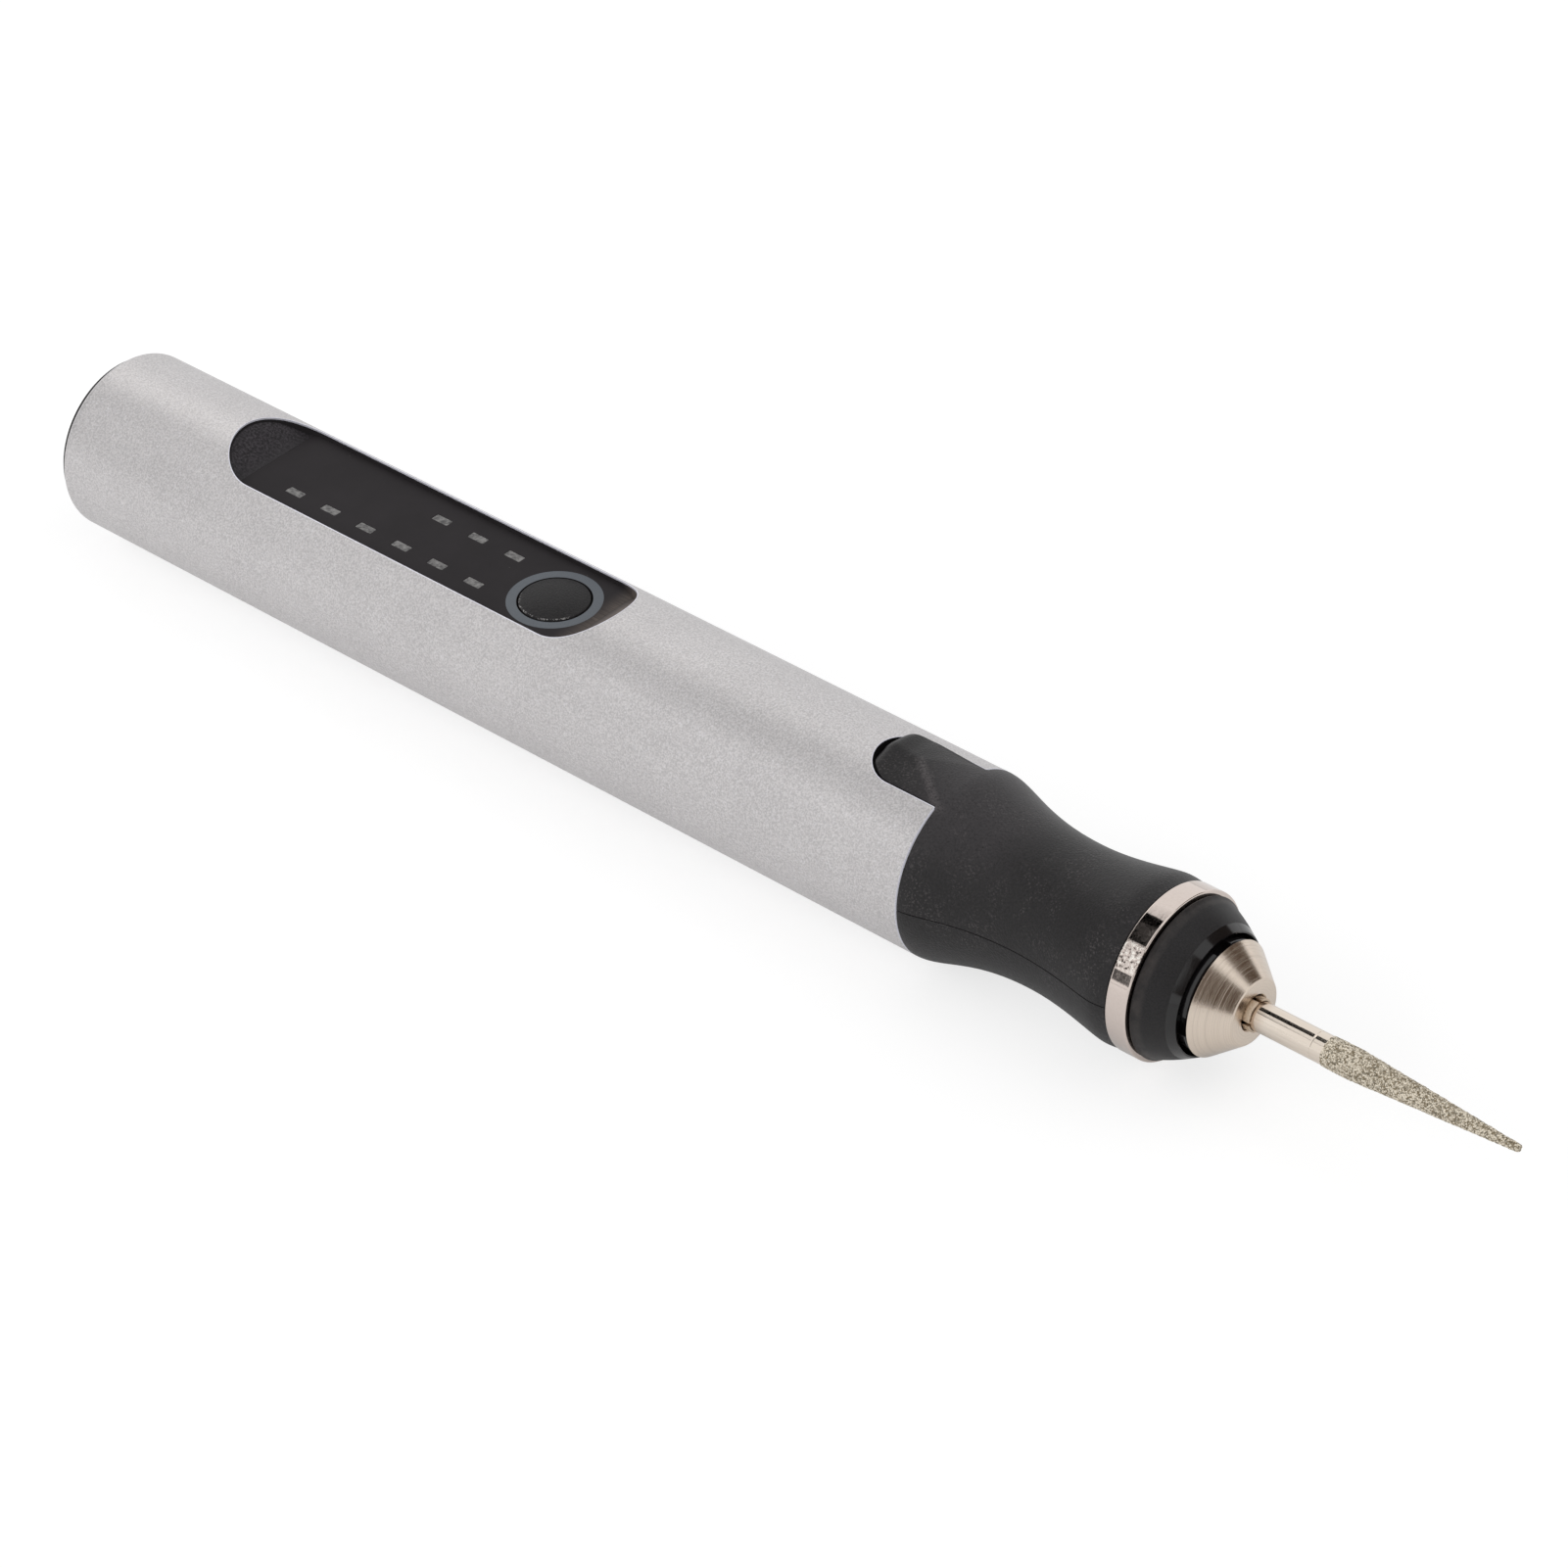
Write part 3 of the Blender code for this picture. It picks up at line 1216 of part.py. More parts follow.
def turn_point(point, angle):
    return (
        point[0] * cos(angle) - point[1] * sin(angle),
        point[0] * sin(angle) + point[1] * cos(angle),
    )


def rotor_outline():
    # Three T-shaped poles round a hub: web, shoe, web, then the hub to the next pole
    radius = ROTOR_RADIUS
    shoe_inner = radius - ROTOR_SHOE
    half_web = ROTOR_WEB / 2
    root = sqrt(ROTOR_HUB_RADIUS ** 2 - half_web ** 2)
    neck = sqrt(shoe_inner ** 2 - half_web ** 2)
    outline = []
    for pole in range(ROTOR_POLES):
        turn = tau * pole / ROTOR_POLES
        pole_points = [(root, -half_web), (neck, -half_web)]
        tip = ROTOR_SHOE_HALF_ANGLE
        pole_points += arc((0.0, 0.0), shoe_inner, -tip / 2, -tip, ARC_STEPS // 2)
        pole_points += arc((0.0, 0.0), radius, -tip, tip, CURVE_STEPS)
        pole_points += arc((0.0, 0.0), shoe_inner, tip, tip / 2, ARC_STEPS // 2)
        pole_points += [(neck, half_web), (root, half_web)]
        outline += [turn_point(point, turn) for point in pole_points]
    return outline


def winding_outline(pole):
    # Copper that fills one slot, clear of the webs and shoes on both sides
    clearance = WINDING_CLEARANCE
    inner = ROTOR_HUB_RADIUS + clearance
    outer = ROTOR_RADIUS - ROTOR_SHOE - clearance
    half_web = ROTOR_WEB / 2 + clearance
    turn = tau * pole / ROTOR_POLES
    next_turn = tau * (pole + 1) / ROTOR_POLES
    lower = [
        turn_point((sqrt(inner ** 2 - half_web ** 2), half_web), turn),
        turn_point((sqrt(outer ** 2 - half_web ** 2), half_web), turn),
    ]
    upper = [
        turn_point((sqrt(outer ** 2 - half_web ** 2), -half_web), next_turn),
        turn_point((sqrt(inner ** 2 - half_web ** 2), -half_web), next_turn),
    ]
    belly = turn_point((outer, 0.0), (turn + next_turn) / 2)
    return lower + [belly] + upper


def make_rotor(parent, steel, copper):
    rear, front = rotor_span()
    core = extruded("motor_rotor", rotor_outline(), "YZ", rear, front, steel, parent)
    hole = [
        (rear - OVERRUN, 0.0),
        (rear - OVERRUN, MOTOR_SHAFT_RADIUS + PRESS_FIT),
        (front + OVERRUN, MOTOR_SHAFT_RADIUS + PRESS_FIT),
        (front + OVERRUN, 0.0),
    ]
    cut(core, turned("rotor_shaft_hole", hole, None, parent, sides=SMALL_SIDES))
    reach = WINDING_END - WINDING_CLEARANCE
    bore = MOTOR_SHAFT_RADIUS + ROTOR_GAP
    outer = ROTOR_RADIUS - ROTOR_SHOE - WINDING_CLEARANCE
    profile = [
        (rear - reach, bore),
        (rear - reach, outer * cos(pi / ROTOR_POLES) + bore),
        (rear - WINDING_CLEARANCE, outer),
        (rear - WINDING_CLEARANCE, bore),
    ]
    winding = turned("motor_winding", profile, copper, parent, sides=SMALL_SIDES)
    mirrored = [(rear + front - along, radius) for along, radius in profile]
    fuse(winding, turned("winding_front_end", mirrored, None, parent, sides=SMALL_SIDES))
    low = rear - reach / 2
    high = front + reach / 2
    for pole in range(ROTOR_POLES):
        fill = winding_outline(pole)
        name = "winding_fill_" + str(pole + 1)
        fuse(winding, extruded(name, fill, "YZ", low, high, None, parent))


def make_commutator(parent, copper):
    front = rotor_span()[0] - WINDING_END - COMMUTATOR_SETBACK
    rear = front - COMMUTATOR_LENGTH
    bore = MOTOR_SHAFT_RADIUS + PRESS_FIT
    profile = [(rear, bore), (rear, COMMUTATOR_RADIUS), (front, COMMUTATOR_RADIUS), (front, bore)]
    commutator = turned("commutator", profile, copper, parent, rear, SMALL_SIDES)
    half = COMMUTATOR_SLIT / 2
    floor = (bore + COMMUTATOR_RADIUS) / 2
    for pole in range(ROTOR_POLES):
        low = (rear - OVERRUN, -half, floor)
        high = (front - COMMUTATOR_SLIT, half, COMMUTATOR_RADIUS + OVERRUN)
        slit = block("commutator_slit_" + str(pole + 1), low, high, None, parent)
        angle = tau * pole / ROTOR_POLES
        turn_about_axis(slit, angle)
        cut(commutator, slit)


def turn_about_axis(piece, angle):
    # Swings a piece round the pen's axis, as on a dividing head
    spin = Matrix.Rotation(angle, 4, "X")
    piece.location = spin @ piece.location
    piece.rotation_euler = (angle, 0.0, 0.0)


def make_motor_shaft(parent, steel):
    rear = MOTOR_REAR - END_BELL_BOSS_LENGTH
    front = MOTOR_FRONT + MOTOR_SHAFT_REACH
    radius = MOTOR_SHAFT_RADIUS
    chamfer = radius / 4
    profile = [
        (rear, 0.0),
        (rear, radius),
        (front - chamfer, radius),
        (front, radius - chamfer),
        (front, 0.0),
    ]
    turned("motor_shaft", profile, steel, parent, rear, SMALL_SIDES)


def coupling_rear():
    return REAR_BEARING_AT - COUPLING_ROOM - COUPLING_LENGTH


def make_coupling(parent, brass):
    rear = coupling_rear()
    front = rear + COUPLING_LENGTH
    wall = MOTOR_FRONT + MOTOR_SHAFT_REACH + FACE_GAP
    stub_wall = front - STUB_LENGTH - FACE_GAP
    shaft_bore = MOTOR_SHAFT_RADIUS + PRESS_FIT
    stub_bore = STUB_RADIUS + PRESS_FIT
    profile = [
        (rear, shaft_bore),
        (rear, COUPLING_RADIUS),
        (front, COUPLING_RADIUS),
        (front, stub_bore),
        (max(wall, stub_wall), stub_bore),
        (max(wall, stub_wall), shaft_bore),
    ]
    turned("coupling_sleeve", profile, brass, parent, rear, SMALL_SIDES)


# Spindle: runs in both bearings and holds the collet in its open front

def make_spindle(parent, steel):
    stub_rear = coupling_rear() + COUPLING_LENGTH - STUB_LENGTH
    stub_front = coupling_rear() + COUPLING_LENGTH + FACE_GAP
    rear_seat = REAR_BEARING_INNER_RADIUS
    front_seat = FRONT_BEARING_INNER_RADIUS
    shoulder_rear = FRONT_BEARING_AT - SPINDLE_SHOULDER
    thread_rear = SPINDLE_FRONT - SPINDLE_THREAD_LENGTH
    collet_bore = COLLET_RADIUS + RUNNING_FIT
    collet_seat = collet_rear() - FACE_GAP
    shank_bore = SHANK_RADIUS + SLIDE_FIT
    profile = [
        (stub_rear, 0.0),
        (stub_rear, STUB_RADIUS),
        (stub_front, STUB_RADIUS),
        (stub_front, rear_seat),
        (REAR_BEARING_FRONT + PRESS_FIT, rear_seat),
        (REAR_BEARING_FRONT + PRESS_FIT, SPINDLE_RADIUS),
        (shoulder_rear, SPINDLE_RADIUS),
        (shoulder_rear, SPINDLE_SHOULDER_RADIUS),
        (FRONT_BEARING_AT - PRESS_FIT, SPINDLE_SHOULDER_RADIUS),
        (FRONT_BEARING_AT - PRESS_FIT, front_seat),
        (thread_rear, front_seat),
        (thread_rear, SPINDLE_THREAD_RADIUS),
        (SPINDLE_FRONT, SPINDLE_THREAD_RADIUS),
        (SPINDLE_FRONT, collet_bore),
        (collet_seat, collet_bore),
        (collet_seat, shank_bore),
        (BIT_REAR - SHANK_BORE_ROOM, shank_bore),
        (BIT_REAR - SHANK_BORE_ROOM, 0.0),
    ]
    turned("spindle", profile, steel, parent, sides=SMALL_SIDES)


def make_collar(parent, gloss_black):
    # Glossy ring behind the chuck nut, notched round its front edge for a spanner
    bore = FRONT_BEARING_INNER_RADIUS + PRESS_FIT
    profile = [
        (COLLAR_REAR, bore),
        (COLLAR_REAR, COLLAR_RADIUS),
        (COLLAR_FRONT - COLLAR_EDGE, COLLAR_RADIUS),
        (COLLAR_FRONT, COLLAR_RADIUS - COLLAR_EDGE),
        (COLLAR_FRONT, bore),
    ]
    collar = turned("spindle_collar", profile, gloss_black, parent, COLLAR_REAR)
    half = COLLAR_NOTCH_WIDTH / 2
    for number in range(COLLAR_NOTCHES):
        low = (COLLAR_FRONT - COLLAR_NOTCH_LENGTH, -half, COLLAR_RADIUS - COLLAR_NOTCH_DEPTH)
        high = (COLLAR_FRONT + OVERRUN, half, COLLAR_RADIUS + OVERRUN)
        notch = block("collar_notch_" + str(number + 1), low, high, None, parent)
        turn_about_axis(notch, tau * number / COLLAR_NOTCHES)
        cut(collar, notch)


def make_bearing(place, inner_radius, outer_radius, rear, width, housing, spindle, steel, brass):
    # Two plain rings with a row of balls that share one cage
    inner = inner_radius + PRESS_FIT
    race = (outer_radius - inner) * RACE_SHARE
    ring = [(rear, inner), (rear, inner + race), (rear + width, inner + race), (rear + width, inner)]
    turned(place + "_bearing_inner_ring", ring, steel, spindle, rear, SMALL_SIDES)
    outside = outer_radius
    ring = [
        (rear, outside - race),
        (rear, outside),
        (rear + width, outside),
        (rear + width, outside - race),
    ]
    turned(place + "_bearing_outer_ring", ring, steel, housing, rear, SMALL_SIDES)
    pitch = (inner + outside) / 2
    ball = (outside - inner) / 2 - race - RUNNING_FIT
    half_width = width * CAGE_WIDTH_SHARE / 2
    half_wall = width * CAGE_THICKNESS_SHARE / 2
    middle = rear + width / 2
    cage = [
        (middle - half_width, pitch - half_wall),
        (middle - half_width, pitch + half_wall),
        (middle + half_width, pitch + half_wall),
        (middle + half_width, pitch - half_wall),
    ]
    caged = turned(place + "_bearing_balls", cage, brass, spindle, middle, SMALL_SIDES)
    fuse(caged, ball_row(place + "_ball_row", middle, pitch, ball, spindle))


def ball_row(name, station, pitch, radius, parent):
    bm = bmesh.new()
    for number in range(BALLS):
        angle = tau * number / BALLS
        place = Matrix.Translation((station, pitch * sin(angle), pitch * cos(angle)))
        bmesh.ops.create_uvsphere(bm, u_segments=6, v_segments=4, radius=radius, matrix=place)
    return add_object(name, bm, None, parent, (0.0, 0.0, 0.0))


# Chuck: split collet, cone nut and bit

def nut_cone_front():
    return NUT_AT + NUT_LENGTH * NUT_CONE_SHARE


def nut_cone_rear():
    return NUT_AT + NUT_LENGTH * NUT_THREAD_SHARE


def collet_front():
    return nut_cone_front() - COLLET_CONE_GAP


def collet_rear():
    return collet_front() - COLLET_LENGTH


def make_collet(parent, steel):
    # The head's cone runs parallel to the nut's cone; crossed slits leave a whole ring behind
    front = collet_front()
    rear = collet_rear()
    head_rear = nut_cone_rear() + COLLET_CONE_GAP
    slope = (NUT_CONE_RADIUS - NUT_BORE_RADIUS) / (nut_cone_front() - nut_cone_rear())
    head_rear_radius = NUT_CONE_RADIUS - COLLET_CONE_GAP - slope * COLLET_CONE_GAP
    front_radius = head_rear_radius - slope * (front - head_rear)
    bore = SHANK_RADIUS + PRESS_FIT
    nose_radius = NUT_BORE_RADIUS - FACE_GAP
    nose_front = NUT_FRONT + COLLET_NOSE_REACH
    profile = [
        (rear, bore),
        (rear, COLLET_RADIUS),
        (head_rear, COLLET_RADIUS),
        (head_rear, head_rear_radius),
        (front, front_radius),
        (front, nose_radius),
        (nose_front, nose_radius),
        (nose_front, bore),
    ]
    collet = turned("collet", profile, steel, parent, rear, SMALL_SIDES)
    slit_rear = front - COLLET_LENGTH * COLLET_SLIT_SHARE
    reach = COLLET_RADIUS + OVERRUN
    half = COLLET_SLIT_WIDTH / 2
    for number in range(COLLET_SLITS):
        low = (slit_rear, -reach, -half)
        high = (nose_front + OVERRUN, reach, half)
        slit = block("collet_slit_" + str(number + 1), low, high, None, parent)
        turn_about_axis(slit, pi * number / COLLET_SLITS)
        cut(collet, slit)


def make_chuck_nut(parent, nickel):
    edge = NUT_EDGE
    slope = (NUT_REAR_RADIUS - NUT_FRONT_RADIUS) / NUT_LENGTH
    thread = SPINDLE_THREAD_RADIUS + NUT_THREAD_FIT
    profile = [
        (NUT_AT, thread),
        (NUT_AT, NUT_REAR_RADIUS - edge),
        (NUT_AT + edge, NUT_REAR_RADIUS - slope * edge),
        (NUT_FRONT - edge, NUT_FRONT_RADIUS + slope * edge),
        (NUT_FRONT, NUT_FRONT_RADIUS - edge),
        (NUT_FRONT, NUT_BORE_RADIUS),
        (nut_cone_front(), NUT_BORE_RADIUS),
        (nut_cone_rear(), NUT_CONE_RADIUS),
        (nut_cone_rear(), thread),
    ]
    turned("chuck_nut", profile, nickel, parent)


def make_bit(parent, steel):
    head_rear = BIT_TIP - BIT_HEAD_LENGTH
    head_full = head_rear + BIT_NECK_TAPER
    taper_start = head_rear + BIT_HEAD_STRAIGHT
    chamfer = BIT_SHANK_CHAMFER
    tip = (BIT_TIP - BIT_TIP_ROUNDING, BIT_TIP_RADIUS)
    profile = [
        (BIT_REAR, 0.0),
        (BIT_REAR, SHANK_RADIUS - chamfer),
        (BIT_REAR + chamfer, SHANK_RADIUS),
        (head_rear, SHANK_RADIUS),
        (head_full, BIT_HEAD_RADIUS),
        (taper_start, BIT_HEAD_RADIUS),
        tip,
        (BIT_TIP, BIT_TIP_RADIUS / 2),
        (BIT_TIP, 0.0),
    ]
    turned("engraving_bit", profile, steel, parent, sides=SMALL_SIDES)


def build():
    clear_scene()
    silver = finish("satin_silver", (0.56, 0.56, 0.57), 0.38, 0.6)
    soft_black = finish("soft_black", (0.035, 0.034, 0.035), 0.55)
    moulded_black = finish("moulded_black", (0.028, 0.027, 0.028), 0.5)
    gloss_black = finish("gloss_black", (0.022, 0.022, 0.023), 0.2)
    nickel = finish("nickel", (0.72, 0.66, 0.60), 0.18, 1.0)
    steel = finish("steel", (0.55, 0.55, 0.56), 0.3, 1.0)
    diamond = finish("diamond_grit", (0.42, 0.41, 0.36), 0.55, 0.6)
    brass = finish("brass", (0.72, 0.55, 0.28), 0.3, 1.0)
    copper = finish("copper", (0.70, 0.36, 0.22), 0.35, 1.0)
    green = finish("board_green", (0.03, 0.16, 0.08), 0.45)
    clear = finish("light_guide", (0.32, 0.32, 0.34), 0.35)
    white = finish("led_white", (0.85, 0.84, 0.70), 0.4)
    magnet = finish("magnet_grey", (0.12, 0.12, 0.13), 0.6)
    sleeve = finish("cell_sleeve", (0.06, 0.16, 0.42), 0.35)
    red = finish("lead_red", (0.55, 0.04, 0.03), 0.45)

    pen = axis_empty("pen_axis", 0.0)
    spindle = axis_empty("spindle_axis", 0.0, pen)
    collet = axis_empty("collet_axis", 0.0, spindle)
    nut = axis_empty("nut_axis", 0.0, collet)
    bit = axis_empty("bit_axis", 0.0, collet)
    button = axis_empty("button_axis", 0.0, pen)

    make_barrel_tube(pen, silver)
    make_grip(pen, soft_black)
    make_nose_ring(pen, nickel)
    make_nose_cone(pen, moulded_black)
    make_end_cap(pen, moulded_black)
    make_charge_socket(pen, steel, moulded_black)
    make_charge_board(pen, green)
    make_panel_bezel(pen, moulded_black)
    make_panel_film(pen, gloss_black)
    make_light_guide("light_guide_near", -WINDOW_ROW_OFFSET, NEAR_WINDOWS, pen, clear)
    make_light_guide("light_guide_far", WINDOW_ROW_OFFSET, FAR_WINDOWS, pen, clear)
    make_leds(pen, white)
    make_main_board(pen, green)
    make_board_screws(pen, steel)
    make_chassis(pen, moulded_black)
    make_cell(pen, sleeve)
    make_cell_tabs(pen, nickel)
    make_motor_case(pen, steel, moulded_black, brass)
    make_magnets(pen, magnet)
    make_terminals(pen, brass)
    make_motor_leads(pen, red, moulded_black)
    make_charge_leads(pen, red, moulded_black)

    make_power_button(button, moulded_black)
    make_switch(button, steel, moulded_black)

    make_motor_shaft(spindle, steel)
    make_rotor(spindle, steel, copper)
    make_commutator(spindle, copper)
    make_coupling(spindle, brass)
    make_spindle(spindle, steel)
    make_collar(spindle, gloss_black)
    make_bearing(
        "rear",
        REAR_BEARING_INNER_RADIUS,
        REAR_BEARING_OUTER_RADIUS,
        REAR_BEARING_AT,
        REAR_BEARING_WIDTH,
        pen,
        spindle,
        steel,
        brass,
    )
    make_bearing(
        "front",
        FRONT_BEARING_INNER_RADIUS,
        FRONT_BEARING_OUTER_RADIUS,
        FRONT_BEARING_AT,
        FRONT_BEARING_WIDTH,
        pen,
        spindle,
        steel,
        brass,
    )

    make_collet(collet, steel)
    make_chuck_nut(nut, nickel)
    make_bit(bit, diamond)


build()
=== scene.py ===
import math
import bpy
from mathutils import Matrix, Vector


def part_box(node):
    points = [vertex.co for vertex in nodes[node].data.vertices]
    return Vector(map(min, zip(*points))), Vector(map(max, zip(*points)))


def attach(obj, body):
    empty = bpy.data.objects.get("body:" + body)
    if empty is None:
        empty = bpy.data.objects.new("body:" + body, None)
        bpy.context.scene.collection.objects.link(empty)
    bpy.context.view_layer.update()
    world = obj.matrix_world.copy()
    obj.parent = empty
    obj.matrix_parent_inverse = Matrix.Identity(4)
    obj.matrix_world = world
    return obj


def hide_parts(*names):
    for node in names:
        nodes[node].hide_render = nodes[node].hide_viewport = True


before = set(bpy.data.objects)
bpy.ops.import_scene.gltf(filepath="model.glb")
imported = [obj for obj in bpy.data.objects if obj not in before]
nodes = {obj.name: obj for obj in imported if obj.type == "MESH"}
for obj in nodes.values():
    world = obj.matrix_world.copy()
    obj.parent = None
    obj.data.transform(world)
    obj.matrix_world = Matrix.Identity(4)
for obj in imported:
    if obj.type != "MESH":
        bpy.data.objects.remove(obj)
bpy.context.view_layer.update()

# an engraving pen: silver tube, black grip, cone chuck and a diamond bit
# lengths in the settings are mm, places along the pen count forward from the tube's front rim
mm = 0.001
tubeLow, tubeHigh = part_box("barrel_tube")
rimX = tubeHigh.x
axisZ = (tubeLow.z + tubeHigh.z) / 2
tubeRadius = (axisZ - tubeLow.z) / mm
capRear = (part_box("end_cap")[0].x - rimX) / mm
panelTop = (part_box("panel_film")[1].z - axisZ) / mm
print("frame:", len(nodes), "nodes, rim at", round(rimX, 5), "axis at", round(axisZ, 5))


# camera, as the photograph was taken
camera = {
    "place": (281.7229, -323.1090, 338.0534),
    "turn": (52.5874, 2.11816, 41.73654),
    "lens": 129.12,
}


def at(along, side=0.0, height=0.0):
    return Vector((rimX + along * mm, side * mm, axisZ + height * mm))


def link(made):
    bpy.context.scene.collection.objects.link(made)


def setCamera():
    data = bpy.data.cameras.new("camera")
    data.lens = camera["lens"]
    data.sensor_width = 36.0
    data.clip_start = 0.01
    data.clip_end = 20.0
    seen = bpy.data.objects.new("camera", data)
    link(seen)
    seen.location = at(*camera["place"])
    seen.rotation_euler = [math.radians(angle) for angle in camera["turn"]]
    bpy.context.scene.camera = seen


# shader wiring

def tone(text):
    # a screen colour such as "c8c8cc", made linear for the shader
    shares = [int(text[start:start + 2], 16) / 255 for start in (0, 2, 4)]
    return (*[share / 12.92 if share <= 0.04045 else ((share + 0.055) / 1.055) ** 2.4 for share in shares], 1.0)


class Wire:
    # a socket that can be added, multiplied and so on
    def __init__(self, paint, socket):
        self.paint = paint
        self.socket = socket

    def maths(self, operation, first, second):
        return self.paint.node("Math", {"operation": operation}, {0: first, 1: second})

    def __add__(self, other):
        return self.maths("ADD", self, other)

    def __radd__(self, other):
        return self.maths("ADD", other, self)

    def __sub__(self, other):
        return self.maths("SUBTRACT", self, other)

    def __rsub__(self, other):
        return self.maths("SUBTRACT", other, self)

    def __mul__(self, other):
        return self.maths("MULTIPLY", self, other)

    def __rmul__(self, other):
        return self.maths("MULTIPLY", other, self)

    def __pow__(self, other):
        return self.maths("POWER", self, other)


class Network:
    # the nodes of a material or of the room
    def __init__(self, tree):
        self.tree = tree

    def node(self, kind, settings=None, values=None, out=0):
        made = self.tree.nodes.new("ShaderNode" + kind)
        for key, value in (settings or {}).items():
            if key == "stops":
                ramp = made.color_ramp
                while len(ramp.elements) < len(value):
                    ramp.elements.new(1.0)
                for stop, (place, colour) in zip(ramp.elements, value):
                    stop.position = place
                    stop.color = colour
            else:
                setattr(made, key, value)
        for key, value in (values or {}).items():
            self.plug(made.inputs[key], value)
        return Wire(self, made.outputs[out])

    def plug(self, socket, value):
        if isinstance(value, Wire):
            self.tree.links.new(value.socket, socket)
        else:
            socket.default_value = value


class Paint(Network):
    # one material with its principled shader; constants go straight onto the shader
    def __init__(self, metallic=0.0, specular=0.5):
        self.material = bpy.data.materials.new("paint")
        self.material.use_nodes = True
        super().__init__(self.material.node_tree)
        self.shader = self.tree.nodes["Principled BSDF"]
        self.set({"Metallic": metallic, "Specular IOR Level": specular})
        # mm from the middle of the tube's front rim
        spot = self.node("TexCoord", out="Object")
        moved = self.node("VectorMath", {"operation": "SUBTRACT"}, {0: spot, 1: tuple(at(0))})
        self.place = self.node("VectorMath", {"operation": "SCALE"}, {0: moved, "Scale": 1 / mm})

    def set(self, values):
        for key, value in values.items():
            self.plug(self.shader.inputs[key], value)

    def stretched(self, *shares, place=None):
        return self.node("VectorMath", {"operation": "MULTIPLY"}, {0: place or self.place, 1: shares})

    def parts(self, vector=None):
        split = self.node("SeparateXYZ", values={0: vector or self.place}).socket.node
        return [Wire(self, split.outputs[axis]) for axis in range(3)]

    def grain(self, size, detail=3.0, rough=0.55, place=None):
        values = {"Vector": place or self.place, "Scale": 1 / size, "Detail": detail, "Roughness": rough}
        return self.node("TexNoise", values=values)

    def cells(self, size, out="Distance"):
        return self.node("TexVoronoi", values={"Vector": self.place, "Scale": 1 / size}, out=out)

    def shades(self, size, axis=0):
        # one plain shade for each cell
        return self.parts(self.cells(size, "Color"))[axis]

    def ease(self, value, low, high, start=0.0, end=1.0):
        return self.node("MapRange", {"interpolation_type": "SMOOTHSTEP"},
                         {0: value, 1: low, 2: high, 3: start, 4: end})

    def blend(self, share, first, second):
        first, second = [tone(part) if isinstance(part, str) else part for part in (first, second)]
        return self.node("Mix", {"data_type": "RGBA"}, {0: share, 6: first, 7: second}, 2)

    def coat(self, colour, roughness, height, depth, strength):
        # depth of the relief in mm
        values = {"Height": height, "Distance": depth * mm, "Strength": strength}
        self.set({"Base Color": colour, "Roughness": roughness, "Normal": self.node("Bump", values=values)})
        return self


finishes = {}
recipes = {}


def finish(name):
    # each finish is made once and shared
    if name not in finishes:
        maker, *values = recipes[name]
        finishes[name] = maker(*values).material
        finishes[name].name = name
    return finishes[name]


silver = {"light": "d8d5d5", "dark": "b6b3b4", "roughness": 0.33, "metallic": 0.55, "grain": 0.20}


def satinSilver():
    # bead blasted and anodised: a fine sparkle and almost no direction
    paint = Paint(silver["metallic"])
    fine = paint.grain(silver["grain"], 2.0)
    wide = paint.grain(6.0, 2.0)
    glint = paint.ease(paint.shades(0.13), 0.84, 1.0)
    share = paint.ease(fine, 0.34, 0.66) * 0.75 + wide * 0.25
    colour = paint.blend(share, silver["dark"], silver["light"])
    return paint.coat(paint.blend(glint * 0.35, colour, "efeef2"), silver["roughness"] + 0.10 * fine,
                      fine + glint * 0.3, 0.022, 0.8)


def cutMetal():
    # the bare edge that the cutter leaves in the anodised tube
    paint = Paint()
    marks = paint.grain(0.5, place=paint.stretched(1.0, 1.0, 9.0))
    return paint.coat(paint.blend(marks, "dddcea", "f6f6fd"), 0.22 + 0.12 * marks, marks, 0.01, 0.4)


rubber = {"dark": "131112", "light": "201e1f", "roughness": 0.36}


def softBlack():
    # soft-touch paint with a fine leathery sparkle, a painted highlight over the top of the shoulder and a painted
    # highlight line along the key's ridge
    paint = Paint(0.0, 0.34)
    fine = paint.grain(0.20, 4.0, 0.6)
    patch = paint.grain(3.5, 2.0)
    speck = paint.ease(paint.shades(0.15), 0.72, 1.0) * paint.ease(patch, 0.40, 0.70)
    colour = paint.blend(paint.ease(fine, 0.35, 0.68), rubber["dark"], rubber["light"])
    along, side, height = paint.parts()
    # painted highlight: lighter on top of the shoulder, where the light falls
    lift = paint.ease(along, 12.0, 6.0) * paint.ease(along, -7.0, 1.0) * paint.ease(height, 4.0, 9.0)
    colour = paint.blend(lift * paint.ease(fine, 0.20, 0.60), colour, "322f31")
    colour = paint.blend(speck * 0.42, colour, "5a5556")
    ridgeShare = (along - key["ridgeStart"]) * (1 / (key["ridgeEnd"] - key["ridgeStart"]))
    over = -1.0 * side - paint.node("Clamp", values={0: ridgeShare}) * (tube["notchWidth"] / 2)
    # painted highlight: a light line along the key's ridge on its near side
    ridgeHighlight = paint.ease(over, -0.9, -0.1) * paint.ease(over, 0.8, 0.0) * paint.ease(along, 1.4, -0.2)
    ridgeHighlight = ridgeHighlight * paint.ease(along, -6.0, -4.6) * paint.ease(fine, 0.30, 0.62)
    return paint.coat(paint.blend(ridgeHighlight * 0.6, colour, "575253"), rubber["roughness"] + 0.09 * patch + 0.05 * fine,
                      fine * 0.8 + paint.cells(0.24) * 0.7, 0.05, 0.7)


def mouldedBlack():
    # plain moulded plastic, spark eroded very finely
    paint = Paint(0.0, 0.28)
    fine = paint.grain(0.14)
    colour = paint.blend(paint.ease(fine, 0.35, 0.65), "191819", "252324")
    return paint.coat(colour, 0.40 + 0.12 * paint.grain(2.5, 2.0), fine, 0.014, 0.5)


